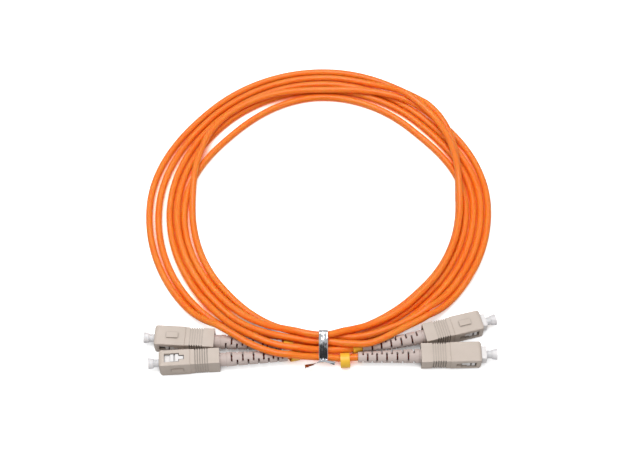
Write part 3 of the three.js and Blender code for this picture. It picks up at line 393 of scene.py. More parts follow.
def housing_strings():
    """The Y, Z and radius of the rounded lines that bound a housing, from front to rear."""
    edge_y, edge_z = HOUSING_WIDTH / 2 - HOUSING_EDGE, HOUSING_HEIGHT / 2 - HOUSING_EDGE
    strings = [(0, 0, HOUSING_HEIGHT / 2)]
    for side in (-1, 1):
        strings += [(side * (HOUSING_WIDTH - HOUSING_HEIGHT) / 2, 0, HOUSING_HEIGHT / 2),
                    (side * edge_y, edge_z, HOUSING_EDGE),
                    (side * edge_y, -edge_z, HOUSING_EDGE)]
    return strings


balls = []
for name, place in PLUGS.items():
    for share in shares(BOOT_BALLS):
        x = BOOT_FRONT + (BOOT_REAR - BOOT_FRONT) * share
        balls.append((on_axis(place, x), boot_radius(x), None))
    line, ring = lines[name], RINGS[name]
    lengths = arc_lengths(line)
    ring_front = JACKET_FRONT - BOOT_REAR + ring["setback"] - SEAT_GAP
    ring_rear = ring_front + RING_WIDTH + 2 * SEAT_GAP
    for share in shares(LEAD_BALLS):
        along = lengths[-1] * share
        radius = ring["diameter"] / 2 if ring_front < along < ring_rear else CORD_RADIUS
        balls.append((point_at(line, lengths, along), radius, name))
    for y, z, radius in housing_strings():
        for share in shares(HOUSING_BALLS):
            # From its forward place to its rear one, so that it slides clear of the strands.
            x = -(HOUSING_LENGTH + HOUSING_TRAVEL) * share
            balls.append((plug_matrix(place) @ Vector((x, y, z)), radius, None))
centres = np.array([centre for centre, _, _ in balls])
girths = np.array([radius for _, radius, _ in balls])
print("balls:", len(balls))

# %% [markdown]
# ## Let the turns settle
#
# Each spot is lifted until it clears the floor, the balls and the turns of lower rank at its
# azimuth. Then the heights are smoothed a little and the turns settle again, which after a few
# passes gives a stiff cord its long low humps.

# %% The turns find their heights
TURN_GAP, SMOOTHING_PASSES = 0.42, 18
near = {}
for name, spots in laid.items():
    near[name] = []
    for k, spot in enumerate(spots):
        place = np.array(plan_point(spot))
        flat = np.hypot(*(centres[:, :2] - place[:2]).T)
        reaches = girths + CORD_RADIUS + SEAT_GAP
        # A strand's own free stretch is not in its way where it joins the coil.
        own = {ENDS[name][0]: k < STEPS / 4, ENDS[name][1]: k > TOTAL - STEPS / 4}
        near[name].append([(float(flat[i]), float(centres[i, 2]), float(reaches[i]))
                           for i in np.nonzero(flat < reaches)[0]
                           if not own.get(balls[i][2], False)])


def settle():
    """Lifts every spot clear of the floor, the balls and the turns of lower rank."""
    clearance = CORD_DIAMETER + TURN_GAP
    for station in range(STEPS):
        spots = [(name, k, laid[name][k]) for name in TURNS
                 for k in range(station, TOTAL + 1, STEPS)]
        spots.sort(key=lambda entry: entry[2]["rank"])
        for i, (name, k, spot) in enumerate(spots):
            if spot["pinned"]:
                continue
            spot["height"] = max(spot["height"], spot["floor"])
            for flat, z, reach in near[name][k]:
                if math.hypot(flat, spot["height"] - z) < reach:
                    spot["height"] = max(spot["height"],
                                         z + math.sqrt(reach * reach - flat * flat))
            for _, _, lower in spots[:i]:
                apart = abs(spot["radius"] - lower["radius"])
                if apart < clearance:
                    over = lower["height"] + math.sqrt(clearance ** 2 - apart ** 2)
                    spot["height"] = max(spot["height"], over)


def smooth_heights():
    """Draws the humps out, as a stiff cord does."""
    for spots in laid.values():
        before = [spot["height"] for spot in spots]
        for k in range(1, TOTAL):
            spots[k]["height"] = (before[k - 1] + 2 * before[k] + before[k + 1]) / 4


settle()
for _ in range(SMOOTHING_PASSES):
    smooth_heights()
    settle()
print("highest turn, mm:", round(max(s["height"] for n in laid for s in laid[n]), 2))

# %% [markdown]
# ## From a bmesh to a piece
#
# Each step is written once here.

# %% Mesh helpers
def circle(count):
    """Even directions round a circle, as pairs of cosine and sine."""
    return [(math.cos(a), math.sin(a)) for a in (2 * math.pi * k / count for k in range(count))]


def skin(work, rows, cells, closed=False):
    """Joins rows of vertices with four-sided faces; closed joins the last row to the first."""
    for here, there in zip(rows, rows[1:] + rows[:1] if closed else rows[1:]):
        for k in cells:
            j = (k + 1) % len(here)
            work.faces.new((here[k], here[j], there[j], there[k]))


def to_mesh(work, name):
    """The finished mesh, with its faces turned outward."""
    bmesh.ops.recalc_face_normals(work, faces=work.faces)
    mesh = bpy.data.meshes.new(name)
    work.to_mesh(mesh)
    work.free()
    return mesh


def stand_for(piece, slot, *nodes):
    """Hides the CAD nodes that a piece replaces. The slot is not used."""
    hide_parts(*nodes)


print("a circle of four:", [(round(c), round(s)) for c, s in circle(4)])

# %% [markdown]
# ## The strands
#
# Each strand is one tube, from the crimp in one plug, through its three turns, to the crimp in the
# other. A Blender curve with a bevel would draw it too, but a mesh is measured more truly, so each
# section is placed square to the line and carried along without a twist. The points come from the
# free stretches and the settled turns, with a curve through them so that no facet shows.

# %% A tube along a line
TUBE_SIDES, SHARP_TUBE_EDGE = 16, 60


def headings(points):
    """The direction of a line at each of its points."""
    last = len(points) - 1
    return [(points[min(i + 1, last)] - points[max(i - 1, 0)]).normalized()
            for i in range(len(points))]


def sections_along(points):
    """Two directions across a line at each of its points, which never twist about it."""
    across, out = None, []
    for ahead in headings(points):
        across = across or ahead.orthogonal()
        across = (across - ahead * across.dot(ahead)).normalized()
        out.append((across, ahead.cross(across)))
    return out


def tube(name, points, radius, body, sides=TUBE_SIDES):
    """A round cord along points in millimetres from the coil's middle."""
    work = bmesh.new()
    rings = [[work.verts.new(world(point + radius * (across * c + up * s)))
              for c, s in circle(sides)]
             for point, (across, up) in zip(points, sections_along(points))]
    skin(work, rings, range(sides))
    work.faces.new(rings[0])
    work.faces.new(rings[-1])
    mesh = to_mesh(work, name)
    mesh.shade_smooth()
    mesh.set_sharp_from_angle(angle=math.radians(SHARP_TUBE_EDGE))
    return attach(put_in_scene(name, mesh), body)


print("tube sides:", TUBE_SIDES)

# %% The strands
ROUTE_STEP, ROUTE_SAMPLES = 2.5, 3


def thin_out(points, step):
    """Keeps points at least step apart, and both ends."""
    kept = [points[0]]
    for point in points[1:-1]:
        if (point - kept[-1]).length >= step and (point - points[-1]).length >= step / 2:
            kept.append(point)
    return [*kept, points[-1]]


strands = {}
centre_lines = {}
for name, (start, stop) in ENDS.items():
    turns = [plan_point(spot) for spot in laid[name]][1:-1]
    way_in, way_out = (thin_out(lines[plug], ROUTE_STEP)[:-1] for plug in (start, stop))
    line = centripetal([*way_in, *turns, *reversed(way_out)], ROUTE_SAMPLES)
    centre_lines[name] = line
    strands[name] = tube(name + "_cord", line, CORD_RADIUS, "cord")
    stand_for(strands[name], "jacket", name + "_coil", start + "_lead", stop + "_lead")
    print(name, "is", round(float(arc_lengths(line)[-1]), 1), "mm long")

# %% [markdown]
# ## Colours and nodes
#
# Screen colours are written as sRGB hex values, and Blender's shaders want linear light, so one
# function turns one into the other. Another adds a shader node, sets it and links it, which keeps
# each material short enough to read.

# %% Colour and node helpers
def linear(hex_colour):
    """An sRGB hex colour as linear RGBA."""
    channels = [int(hex_colour[i:i + 2], 16) / 255 for i in (1, 3, 5)]
    return (*[c / 12.92 if c <= 0.04045 else ((c + 0.055) / 1.055) ** 2.4
              for c in channels], 1.0)


def add(tree, kind, sockets=(), **settings):
    """Adds one node, with its settings and its sockets' values or links."""
    made = tree.nodes.new("ShaderNode" + kind)
    for name, value in settings.items():
        setattr(made, name, value)
    for name, value in dict(sockets).items():
        if isinstance(value, bpy.types.NodeSocket):
            tree.links.new(value, made.inputs[name])
        else:
            made.inputs[name].default_value = value
    return made


def new_material(name):
    """An empty material, and the node tree to fill."""
    made = bpy.data.materials.new(name)
    made.use_nodes = True
    made.node_tree.nodes.clear()
    return made, made.node_tree


def per_mm(size_mm):
    """The texture scale at which a pattern repeats about every size_mm, in metre coordinates."""
    return 1.0 / (size_mm * MM)


# Where a Mix node keeps its two colours, and the colour that it gives.
FIRST_COLOUR, SECOND_COLOUR, MIXED = 6, 7, 2
print("orange in linear light:", [round(c, 3) for c in linear("#ff7f17")])

# %% [markdown]
# ## Clouds and grain
#
# No real surface has one flat colour or is quite smooth. Two things are common to all the
# finishes here: a colour that drifts softly between two tones, and a fine grain that tilts the
# surface a little and makes its sheen uneven. Both come from noise, at a real size in millimetres.

# %% A clouded colour and a fine grain
def clouded(tree, place, size_mm, detail, tones, marks):
    """A colour that drifts between two tones, with each tone pure past its mark."""
    cloud = add(tree, "TexNoise", {"Vector": place, "Scale": per_mm(size_mm), "Detail": detail})
    tint = add(tree, "ValToRGB", {"Fac": cloud.outputs["Fac"]})
    for stop, tone, mark in zip(tint.color_ramp.elements, tones, marks):
        stop.position = mark
        stop.color = linear(tone)
    return tint.outputs["Color"]


def grained(tree, place, size_mm, depth_mm, strength, detail, breakup=0.5):
    """A grain's height from 0 to 1, and the surface's direction with that grain on it."""
    grain = add(tree, "TexNoise", {"Vector": place, "Scale": per_mm(size_mm), "Detail": detail,
                                   "Roughness": breakup})
    bump = add(tree, "Bump", {"Height": grain.outputs["Fac"], "Strength": strength,
                              "Distance": depth_mm * MM})
    return grain.outputs["Fac"], bump.outputs["Normal"]


print("a 9 mm cloud has scale", round(per_mm(9)))

# %% [markdown]
# ## PVC jacket
#
# The jacket is soft PVC, extruded over the fibre in one pass and coloured orange in the melt. It
# is satin, with a faint ripple along it from the extruder, and translucent, so that light spreads
# in it and the colour stays warm and full in the shade between turns.

# %% The jacket's material
def jacket_material():
    """Soft orange PVC, satin and translucent, with painted shade where it lies in a boot."""
    made, tree = new_material("orange_pvc_jacket")
    place = add(tree, "TexCoord").outputs["Object"]
    tint = clouded(tree, place, 22, 2.0, ("#ff7f17", "#ff8d2c"), (0.3, 0.72))
    # Painted shade: in a boot the jacket is seen through narrow slots only, where little light
    # reaches it, so it is painted dark there.
    boot_shade_mask = add(tree, "Attribute", attribute_name="painted_boot_shade")
    shaded = add(tree, "Mix", {"Factor": boot_shade_mask.outputs["Fac"], FIRST_COLOUR: tint,
                               SECOND_COLOUR: linear("#6b2414")}, data_type="RGBA")
    # The ripple is under a tenth of a millimetre on the real cord, drawn a little coarser.
    ripple, normal = grained(tree, place, 0.9, 0.05, 0.12, 3.0)
    sheen = add(tree, "MapRange", {"Value": ripple, "To Min": 0.34, "To Max": 0.46})
    shader = add(tree, "BsdfPrincipled", {
        "Base Color": shaded.outputs[MIXED], "Normal": normal,
        "Roughness": sheen.outputs["Result"], "IOR": 1.53, "Specular IOR Level": 0.4,
        "Subsurface Weight": 0.85, "Subsurface Scale": 1.7 * MM,
        "Subsurface Radius": (1.0, 0.4, 0.12)})
    add(tree, "OutputMaterial", {"Surface": shader.outputs[0]})
    return made


jacket = jacket_material()
IN_BOOT = JACKET_FRONT - BOOT_REAR - SEAT_GAP
for name, strand in strands.items():
    strand.data.materials.append(jacket)
    lengths = arc_lengths(centre_lines[name])
    # Each end that lies in a boot is marked for the jacket's painted shade.
    painted_boot_shade = strand.data.attributes.new("painted_boot_shade", "FLOAT", "POINT")
    painted_boot_shade.data.foreach_set("value", [
        float(min(along, lengths[-1] - along) < IN_BOOT)
        for along in lengths for _ in range(TUBE_SIDES)])
print("made", jacket.name, "with", round(IN_BOOT, 1), "mm of each end in a boot")

# %% [markdown]
# ## Moulded plastics
#
# The grip housings, plug frames, boots and dust caps are all injection moulded, from different
# plastics. What tells them apart is their colour, how deep light goes in, and how fine the spark
# texture of the mould is. One builder takes those as values.

# %% A builder for moulded plastics
# How far the painted shade in grooves reaches for cover, in millimetres.
GROOVE_REACH = 0.9


def moulded(name, colour, shade, roughness, grain_mm, grain_depth, ior=1.5, glow=0.0,
            clear=0.0, groove_shade=0.5):
    """A moulded plastic: clouded colour, painted shade in grooves, a spark-eroded grain, and light
    that goes in.
    """
    made, tree = new_material(name)
    place = add(tree, "TexCoord").outputs["Object"]
    tint = clouded(tree, place, 9, 3.0, (shade, colour), (0.32, 0.7))
    # Painted shade: grooves, slots and windows are painted darker than an open face, by occlusion.
    depth = add(tree, "AmbientOcclusion", {"Color": tint, "Distance": GROOVE_REACH * MM},
                samples=8)
    painted_groove_shade = add(tree, "Mix", {"Factor": groove_shade, FIRST_COLOUR: tint,
                             SECOND_COLOUR: depth.outputs["Color"]}, data_type="RGBA")
    grain, normal = grained(tree, place, grain_mm, grain_depth, 0.3, 4.0, 0.6)
    sheen = add(tree, "MapRange", {"Value": grain, "To Min": roughness - 0.06,
                                   "To Max": roughness + 0.08})
    shader = add(tree, "BsdfPrincipled", {
        "Base Color": painted_groove_shade.outputs[MIXED], "Normal": normal,
        "Roughness": sheen.outputs["Result"], "IOR": ior,
        "Subsurface Weight": glow, "Subsurface Scale": 1.0 * MM,
        "Subsurface Radius": (1.0, 0.95, 0.9), "Transmission Weight": clear})
    add(tree, "OutputMaterial", {"Surface": shader.outputs[0]})
    return made


# Glass-filled PBT, beige, from a finely eroded mould: satin, with no deep glow.
beige_pbt = moulded("beige_pbt_housing", "#cfc1b6", "#c6b8ac", 0.5, 0.35, 0.02, groove_shade=0.65)
# Unfilled PBT, near white: denser and a little glossier than the shell round it.
white_pbt = moulded("white_pbt_plug_frame", "#f0edec", "#e8e4e3", 0.42, 0.4, 0.012, glow=0.15)
# Thermoplastic elastomer, grey pink: matte, so its highlights are wide and dim.
boot_tpe = moulded("grey_tpe_boot", "#cfbfb9", "#c6b5ae", 0.62, 0.45, 0.025, glow=0.04)
# Low-density polyethylene, unpigmented: cloudy, so light glows through its thin walls.
cap_ldpe = moulded("natural_ldpe_dust_cap", "#f2eff0", "#eae7e8", 0.42, 0.8, 0.01, glow=0.5,
                   clear=0.08, groove_shade=0.15)
# Acetal band, yellow: a saturated colour with a waxy satin surface.
band_pom = moulded("yellow_acetal_marker", "#fbc63c", "#f5b92e", 0.4, 0.6, 0.01, glow=0.1)
# Buffer over the bare glass fibre: a soft white coating.
buffer_coat = moulded("fibre_buffer_coating", "#e9e5dc", "#e0dcd2", 0.5, 0.5, 0.01)
# Zirconia, ground and polished: hard white ceramic with a sharp highlight.
zirconia = moulded("polished_zirconia_ferrule", "#f6f5f0", "#f1f0ea", 0.14, 0.2, 0.002,
                   ior=2.1, glow=0.2)
print("moulded and ceramic finishes made")

# %% [markdown]
# ## Metals
#
# The small metal pieces are nickel-plated brass and spring wire, and the twist tie is a
# metallised film round a wire. A metal has no colour of its own under the surface: its colour is
# its reflection, so fine scratches and creases do all the work.

# %% A builder for metals
def metal(name, colour, roughness, grain_mm, grain_depth):
    """A metal with a drawn, plated or creased surface."""
    made, tree = new_material(name)
    place = add(tree, "TexCoord").outputs["Object"]
    grain, normal = grained(tree, place, grain_mm, grain_depth, 0.4, 4.0)
    sheen = add(tree, "MapRange", {"Value": grain, "To Min": roughness * 0.7,
                                   "To Max": roughness * 1.4})
    shader = add(tree, "BsdfPrincipled", {
        "Base Color": linear(colour), "Metallic": 1.0, "Normal": normal,
        "Roughness": sheen.outputs["Result"]})
    add(tree, "OutputMaterial", {"Surface": shader.outputs[0]})
    return made


# Electroplated nickel over turned brass: warm grey and satin, from the lathe's fine rings.
nickel = metal("nickel_plated_brass", "#c9c6bd", 0.28, 0.3, 0.004)
# Drawn steel wire: a colder grey, with the die's fine scratches.
spring_steel = metal("drawn_spring_steel", "#b9babd", 0.3, 0.15, 0.004)
# Aluminium evaporated on a plastic film: bright as a mirror between its soft dents.
foil = metal("metallised_tie_film", "#dcdee2", 0.15, 2.2, 0.05)
print("metals made")

# %% [markdown]
# ## Turned pieces
#
# Ferrules, caps, sleeves and rings are round about the plug's axis. Their profiles are spun in
# many steps, so the curve is smooth, and a small bevel takes the sharpness off each edge as a
# mould or a lathe leaves it.

# %% Spin a profile about the plug's axis
CRISP_EDGE = 32


def soften_edges(piece, width_mm, segments, crisp):
    """Rounds the edges that turn by more than crisp degrees."""
    bevel = piece.modifiers.new("soft_edges", "BEVEL")
    bevel.width = width_mm * MM
    bevel.segments = segments
    bevel.limit_method = "ANGLE"
    bevel.angle_limit = math.radians(crisp)
    bevel.harden_normals = True


def finish_mesh(name, mesh, material, body, bevel_mm=0.0, crisp=CRISP_EDGE):
    """Makes the object, its edges and its material, and lets it ride."""
    made = put_in_scene(name, mesh)
    mesh.materials.append(material)
    mesh.shade_smooth()
    if bevel_mm:
        soften_edges(made, bevel_mm, 2, crisp)
    mesh.set_sharp_from_angle(angle=math.radians(crisp))
    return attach(made, body)


def spin(profile, sides, matrix):
    """A mesh turned from a closed loop of (x, radius) pairs, in the frame's metres."""
    work = bmesh.new()
    rings = [[work.verts.new(world(matrix @ Vector((x, r * c, r * s)))) for x, r in profile]
             for c, s in circle(sides)]
    off_axis = [k for k in range(len(profile))
                if profile[k][1] > 0 or profile[(k + 1) % len(profile)][1] > 0]
    skin(work, rings, off_axis, closed=True)
    bmesh.ops.remove_doubles(work, verts=work.verts, dist=1e-7)
    return to_mesh(work, "turned")


print("edges sharper than", CRISP_EDGE, "degrees stay crisp")

# %% [markdown]
# ## Ferrules and dust caps
#
# The ferrule holds the fibre in a fine bore, and its polished end is a cone and then a shallow
# dome, so that two of them press together at the fibre. The cap grips it with a plain bore, and
# its head flares out to be pulled.

# %% The ferrules
FERRULE_TIP, FERRULE_REAR, FERRULE_RADIUS, FERRULE_CHAMFER = 2.2, -8.3, 1.25, 0.08
# How far behind the tip each point of the polished end lies, and its radius.
POLISHED_END = [(0.4, FERRULE_RADIUS), (0.12, FERRULE_RADIUS - 0.25), (0.02, 0.8), (0, 0.4),
                (0, 0)]
ferrule_profile = [
    (FERRULE_REAR, 0), (FERRULE_REAR, FERRULE_RADIUS - FERRULE_CHAMFER),
    (FERRULE_REAR + FERRULE_CHAMFER, FERRULE_RADIUS),
    *((FERRULE_TIP - back, radius) for back, radius in POLISHED_END)]
print("ferrules are", FERRULE_TIP - FERRULE_REAR, "mm long")

# %% The dust caps
CAP_REACH, CAP_IN, CAP_BORE, CAP_NECK, CAP_HEAD = 4.5, -2.9, 1.37, 1.67, 2.4
CAP_FLOOR, CAP_DIMPLE = FERRULE_TIP + SEAT_GAP, 0.5
HEAD_LENGTH, HEAD_TAPER = 2.1, 0.4
FILLET_FRONT, FILLET_REAR, FILLET_RISE = 2.3, 2.4, 0.06
cap_profile = [
    (CAP_IN, CAP_BORE), (CAP_FLOOR, CAP_BORE), (CAP_FLOOR, 0), (CAP_REACH - CAP_DIMPLE, 0),
    (CAP_REACH - CAP_DIMPLE, CAP_BORE), (CAP_REACH, CAP_BORE), (CAP_REACH, CAP_HEAD),
    (CAP_REACH - HEAD_LENGTH, CAP_HEAD - HEAD_TAPER),
    (CAP_REACH - FILLET_FRONT, CAP_NECK + FILLET_RISE), (CAP_REACH - FILLET_REAR, CAP_NECK),
    (CAP_IN, CAP_NECK)]
print("caps reach", CAP_REACH, "mm past the frame's face")

# %% [markdown]
# ## Stop bodies and crimp sleeves
#
# The stop body holds the spring in the plug frame, and its grooved tail is what the crimp sleeve
# squeezes the strand's yarns onto. Both are small turnings that the boot and housing hide.

# %% The stop bodies
STOP_FRONT, STOP_FLANGE_FRONT = -15.5, -18.3
STOP_BORE, STOP_NECK, STOP_FLANGE, STOP_TAIL = 0.8, 1.85, 2.7, 1.5
STOP_GROOVES, GROOVE_DEPTH, GROOVE_HALF_WIDTH = 2, 0.25, 0.25
stop_profile = [(STOP_FRONT, STOP_BORE), (STOP_FRONT, STOP_NECK), (STOP_FLANGE_FRONT, STOP_NECK),
                (STOP_FLANGE_FRONT, STOP_FLANGE), (STOP_FLANGE_REAR, STOP_FLANGE),
                (STOP_FLANGE_REAR, STOP_TAIL)]
for i in range(1, STOP_GROOVES + 1):
    middle = STOP_FLANGE_REAR - i * STOP_TAIL_LENGTH / (STOP_GROOVES + 1)
    front, rear = middle + GROOVE_HALF_WIDTH, middle - GROOVE_HALF_WIDTH
    stop_profile += [(front, STOP_TAIL), (front, STOP_TAIL - GROOVE_DEPTH),
                     (rear, STOP_TAIL - GROOVE_DEPTH), (rear, STOP_TAIL)]
stop_profile += [(STOP_REAR, STOP_TAIL), (STOP_REAR, STOP_BORE)]
print("stop bodies are", STOP_FRONT - STOP_REAR, "mm long")

# %% The crimp sleeves
CRIMP_BORE, CRIMP_OUTER, BEAD_RISE, BEAD_LENGTH = 1.7, 2.05, 0.1, 1
CRIMP_BEAD = CRIMP_OUTER + BEAD_RISE
crimp_profile = [
    (CRIMP_FRONT, CRIMP_BORE), (CRIMP_FRONT, CRIMP_BEAD), (CRIMP_FRONT - BEAD_LENGTH, CRIMP_BEAD),
    (CRIMP_FRONT - BEAD_LENGTH, CRIMP_OUTER), (CRIMP_REAR + BEAD_LENGTH, CRIMP_OUTER),
    (CRIMP_REAR + BEAD_LENGTH, CRIMP_BEAD), (CRIMP_REAR, CRIMP_BEAD), (CRIMP_REAR, CRIMP_BORE)]
print("crimp sleeves are", CRIMP_LENGTH, "mm long")

# %% The turned pieces of each plug
def turn_piece(plug, piece, node, profile, material, slot, body, bevel_mm=0.0, sides=40):
    """Spins a profile in one plug, and lets it stand for its CAD node."""
    mesh = spin(profile, sides, plug_matrix(PLUGS[plug]))
    stand_for(finish_mesh(f"{plug}_{piece}", mesh, material, body, bevel_mm), slot,
              f"{plug}_{node}")


for name in PLUGS:
    turn_piece(name, "ferrule_pin", "ferrule", ferrule_profile, zirconia, "zirconia",
               f"{name}_ferrule_unit")
    turn_piece(name, "cap_shell", "dust_cap", cap_profile, cap_ldpe, "cap", f"{name}_cap",
               bevel_mm=0.09, sides=48)
    turn_piece(name, "stop_turning", "stop_body", stop_profile, nickel, "nickel", "cord",
               bevel_mm=0.05)
    turn_piece(name, "crimp_tube", "crimp_sleeve", crimp_profile, nickel, "nickel", "cord",
               bevel_mm=0.04)
print("turned pieces made for", len(PLUGS), "plugs")

# %% [markdown]
# ## Slotted boots
#
# The boot is an elastomer sleeve with pairs of opposed slots, each pair a quarter turn from the
# last, so that it bends evenly any way. It is built as a grid round and along the sleeve: where
# a cell of the grid lies in a slot it is left out of both skins, and the slot's walls join them.

# %% Stations along the boot
BOOT_SLOTS, SLOT_WIDTH, SLOT_HALF_ANGLE = 11, 0.7, 55
SLOT_FIRST, SLOT_PITCH_FRONT, SLOT_PITCH_REAR = 9.4, 2.35, 1.85
BOOT_SOCKET, BOOT_BORE = 2.35, 1.7
EDGE_ROUND, STEP_ROUND, TAIL_ROUND = 0.12, 0.06, 0.2
WAIST_EDGE, SOCKET_STEP = 0.1, 0.01


def slot_places():
    """The x of each slot station, counted from the boot's front."""
    x, places = BOOT_FRONT - SLOT_FIRST, []
    for i in range(BOOT_SLOTS):
        places.append(x)
        x -= SLOT_PITCH_FRONT + (SLOT_PITCH_REAR - SLOT_PITCH_FRONT) * i / (BOOT_SLOTS - 2)
    return places


def boot_stations():
    """(x, outer radius, inner radius, slot number or None for the cell behind x)."""
    last = BOOT_SHOULDER - EDGE_ROUND
    stations = [(BOOT_FRONT, BOOT_NECK - EDGE_ROUND, BOOT_SOCKET, None),
                (BOOT_FRONT - EDGE_ROUND, BOOT_NECK, BOOT_SOCKET, None),
                (BOOT_SHOULDER + STEP_ROUND, BOOT_NECK, BOOT_SOCKET, None),
                (BOOT_SHOULDER, BOOT_WAIST - WAIST_EDGE, BOOT_SOCKET, None),
                (last, BOOT_WAIST, BOOT_SOCKET, None)]
    socket_end = CRIMP_REAR - SEAT_GAP
    for i, x in enumerate(slot_places()):
        front, rear = x + SLOT_WIDTH / 2, x - SLOT_WIDTH / 2
        if last > socket_end > front:
            radius = boot_radius(socket_end)
            stations += [(socket_end, radius, BOOT_SOCKET, None),
                         (socket_end - SOCKET_STEP, radius, BOOT_BORE, None)]
        inner = BOOT_SOCKET if x > socket_end else BOOT_BORE
        stations += [(front, boot_radius(front), inner, i), (rear, boot_radius(rear), inner, None)]
        last = rear
    tail = boot_radius(BOOT_REAR)
    return stations + [(BOOT_REAR + TAIL_ROUND, tail, BOOT_BORE, None),
                       (BOOT_REAR + STEP_ROUND, tail - STEP_ROUND, BOOT_BORE, None),
                       (BOOT_REAR, tail - TAIL_ROUND, BOOT_BORE, None)]


print("slots at, mm:", [round(x, 1) for x in slot_places()][:4], "...")

# %% The boots
DIVISIONS = 72
DIVISION = 360 / DIVISIONS


def in_slot(slot, degrees, roll):
    """Whether this direction round the boot lies in one of a station's two slots."""
    middle = (slot % 2) * 90 + roll
    off = (degrees - middle + 90) % 180 - 90
    return abs(off) < SLOT_HALF_ANGLE


def boot_mesh(place):
    """The slotted sleeve of one plug, with its outer skin, bore and slot walls."""
    work = bmesh.new()
    matrix, stations = plug_matrix(place), boot_stations()
    # The slots' own edges lie on the grid, so its first line starts at the boot's roll.
    start = place["boot_roll"]

    def ring(x, radius):
        out = []
        for k in range(DIVISIONS):
            a = math.radians(start + k * DIVISION)
            local = swing((x, radius * math.cos(a), radius * math.sin(a)), place["boot_bend"])
            out.append(work.verts.new(world(matrix @ local)))
        return out

    outer = [ring(x, r) for x, r, _, _ in stations]
    inner = [ring(x, r) for x, _, r, _ in stations]

    def solid(i, k):
        if not 0 <= i < len(stations) - 1:
            return False
        slot = stations[i][3]
        middle = start + (k % DIVISIONS + 0.5) * DIVISION
        return slot is None or not in_slot(slot, middle, place["boot_roll"])

    for i in range(len(stations)):
        for k in range(DIVISIONS):
            j = (k + 1) % DIVISIONS
            if solid(i, k):
                work.faces.new((outer[i][k], outer[i][j], outer[i + 1][j], outer[i + 1][k]))
                work.faces.new((inner[i][k], inner[i + 1][k], inner[i + 1][j], inner[i][j]))
            if solid(i, k) != solid(i, j):
                work.faces.new((outer[i][j], inner[i][j], inner[i + 1][j], outer[i + 1][j]))
            if solid(i, k) != solid(i - 1, k):
                work.faces.new((outer[i][k], outer[i][j], inner[i][j], inner[i][k]))
    for vert in [v for v in work.verts if not v.link_faces]:
        work.verts.remove(vert)
    return to_mesh(work, "boot")


for name, place in PLUGS.items():
    sleeve = finish_mesh(f"{name}_boot_sleeve", boot_mesh(place), boot_tpe, "cord",
                         bevel_mm=0.07, crisp=40)
    stand_for(sleeve, "boot", f"{name}_boot")
print("boots made, with", BOOT_SLOTS, "pairs of slots each")

# %% [markdown]
# ## Housings and plug frames
#
# The shells and the white plug frames already have every real face: grip grooves, key, windows
# and latch wings. What they lack is the small radius that every moulded edge has and that
# catches the light, so a bevel goes on each of them, over the flat faces joined again.

# %% Bevels and finishes on the CAD pieces
FLAT_WITHIN, SHARP_EDGE = 1.5, 35
CAD_FINISHES = {
    "outer_housing": (beige_pbt, 0.14),
    "inner_housing": (white_pbt, 0.1),
    "ferrule_flange": (nickel, 0.04),
    "buffered_fibre": (buffer_coat, 0.0),
}
for name in PLUGS:
    for node, (material, bevel_mm) in CAD_FINISHES.items():
        piece = frame["nodes"][f"{name}_{node}"]
        piece.data.materials.clear()
        piece.data.materials.append(material)
        join = piece.modifiers.new("join_flats", "DECIMATE")
        join.decimate_type = "DISSOLVE"
        join.angle_limit = math.radians(FLAT_WITHIN)
        if bevel_mm:
            soften_edges(piece, bevel_mm, 3, SHARP_EDGE)
print("CAD pieces finished in each plug:", len(CAD_FINISHES))

# %% [markdown]
# ## Springs
#
# Behind each ferrule a coil spring of 0.4 mm wire presses it forward, and gives way by up to a
# millimetre. It is a helix drawn by the same function as the strands.

# %% The springs
SPRING_FRONT, SPRING_LENGTH, SPRING_TURNS, SPRING_WIRE = -9.6, 5.6, 5, 0.4
SPRING_REAR = SPRING_FRONT - SPRING_LENGTH
SPRING_RADIUS, SPRING_STEPS, FERRULE_TRAVEL = 1.55, 32, 1.0
for name, place in PLUGS.items():
    matrix = plug_matrix(place)
    helix = []
    for share in shares(SPRING_TURNS * SPRING_STEPS):
        a = share * SPRING_TURNS * 2 * math.pi
        x = SPRING_FRONT - SPRING_WIRE / 2 - share * (SPRING_LENGTH - SPRING_WIRE)
        helix.append(matrix @ Vector((x, SPRING_RADIUS * math.cos(a),
                                      -SPRING_RADIUS * math.sin(a))))
    spring = tube(f"{name}_spring_wire", helix, SPRING_WIRE / 2, "cord", TUBE_SIDES // 2)
    spring.data.materials.append(spring_steel)
    # In the plug the flange presses it against the stop body by up to a millimetre.
    rear = matrix @ Vector((SPRING_REAR, 0, 0))
    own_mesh(spring)
    stand_for(spring, "steel", f"{name}_ferrule_spring")
print("springs made, pressed in by", FERRULE_TRAVEL, "mm")

# %% [markdown]
# ## Marker rings
#
# A yellow band sits loosely on each strand by its boot, to tell one end from the other. They are
# short turned tubes, hung off the strand's axis by their own weight.

# %% The marker rings
RING_WALL = 0.4
for name, ring in RINGS.items():
    line = lines[name]
    lengths = arc_lengths(line)
    near_end = JACKET_FRONT - BOOT_REAR + ring["setback"]
    start = point_at(line, lengths, near_end)
    along = (point_at(line, lengths, near_end + RING_WIDTH) - start).normalized()
    side = Vector((0, 0, 1)).cross(along).normalized()
    up = along.cross(side)
    viewer = -1 if side.y > 0 else 1
    origin = start + side * viewer * ring["lean"] - up * ring["drop"]
    matrix = Matrix.Translation(origin) @ Matrix((along, side, up)).transposed().to_4x4()
    outer = ring["diameter"] / 2
    inner = outer - RING_WALL
    band = finish_mesh(f"{name}_marker_band", spin(
        [(0, inner), (RING_WIDTH, inner), (RING_WIDTH, outer), (0, outer)], 48, matrix),
        band_pom, "cord", bevel_mm=0.1)
    stand_for(band, "marker", f"{name}_marker_ring")
print("marker rings made:", len(RINGS))

# %% [markdown]
# ## The twist tie
#
# The tie is a strip of metallised film with a wire in it, wrapped round the eight strands and
# twisted at the front. Its path is the tight outline round the strands, with creases pressed in.

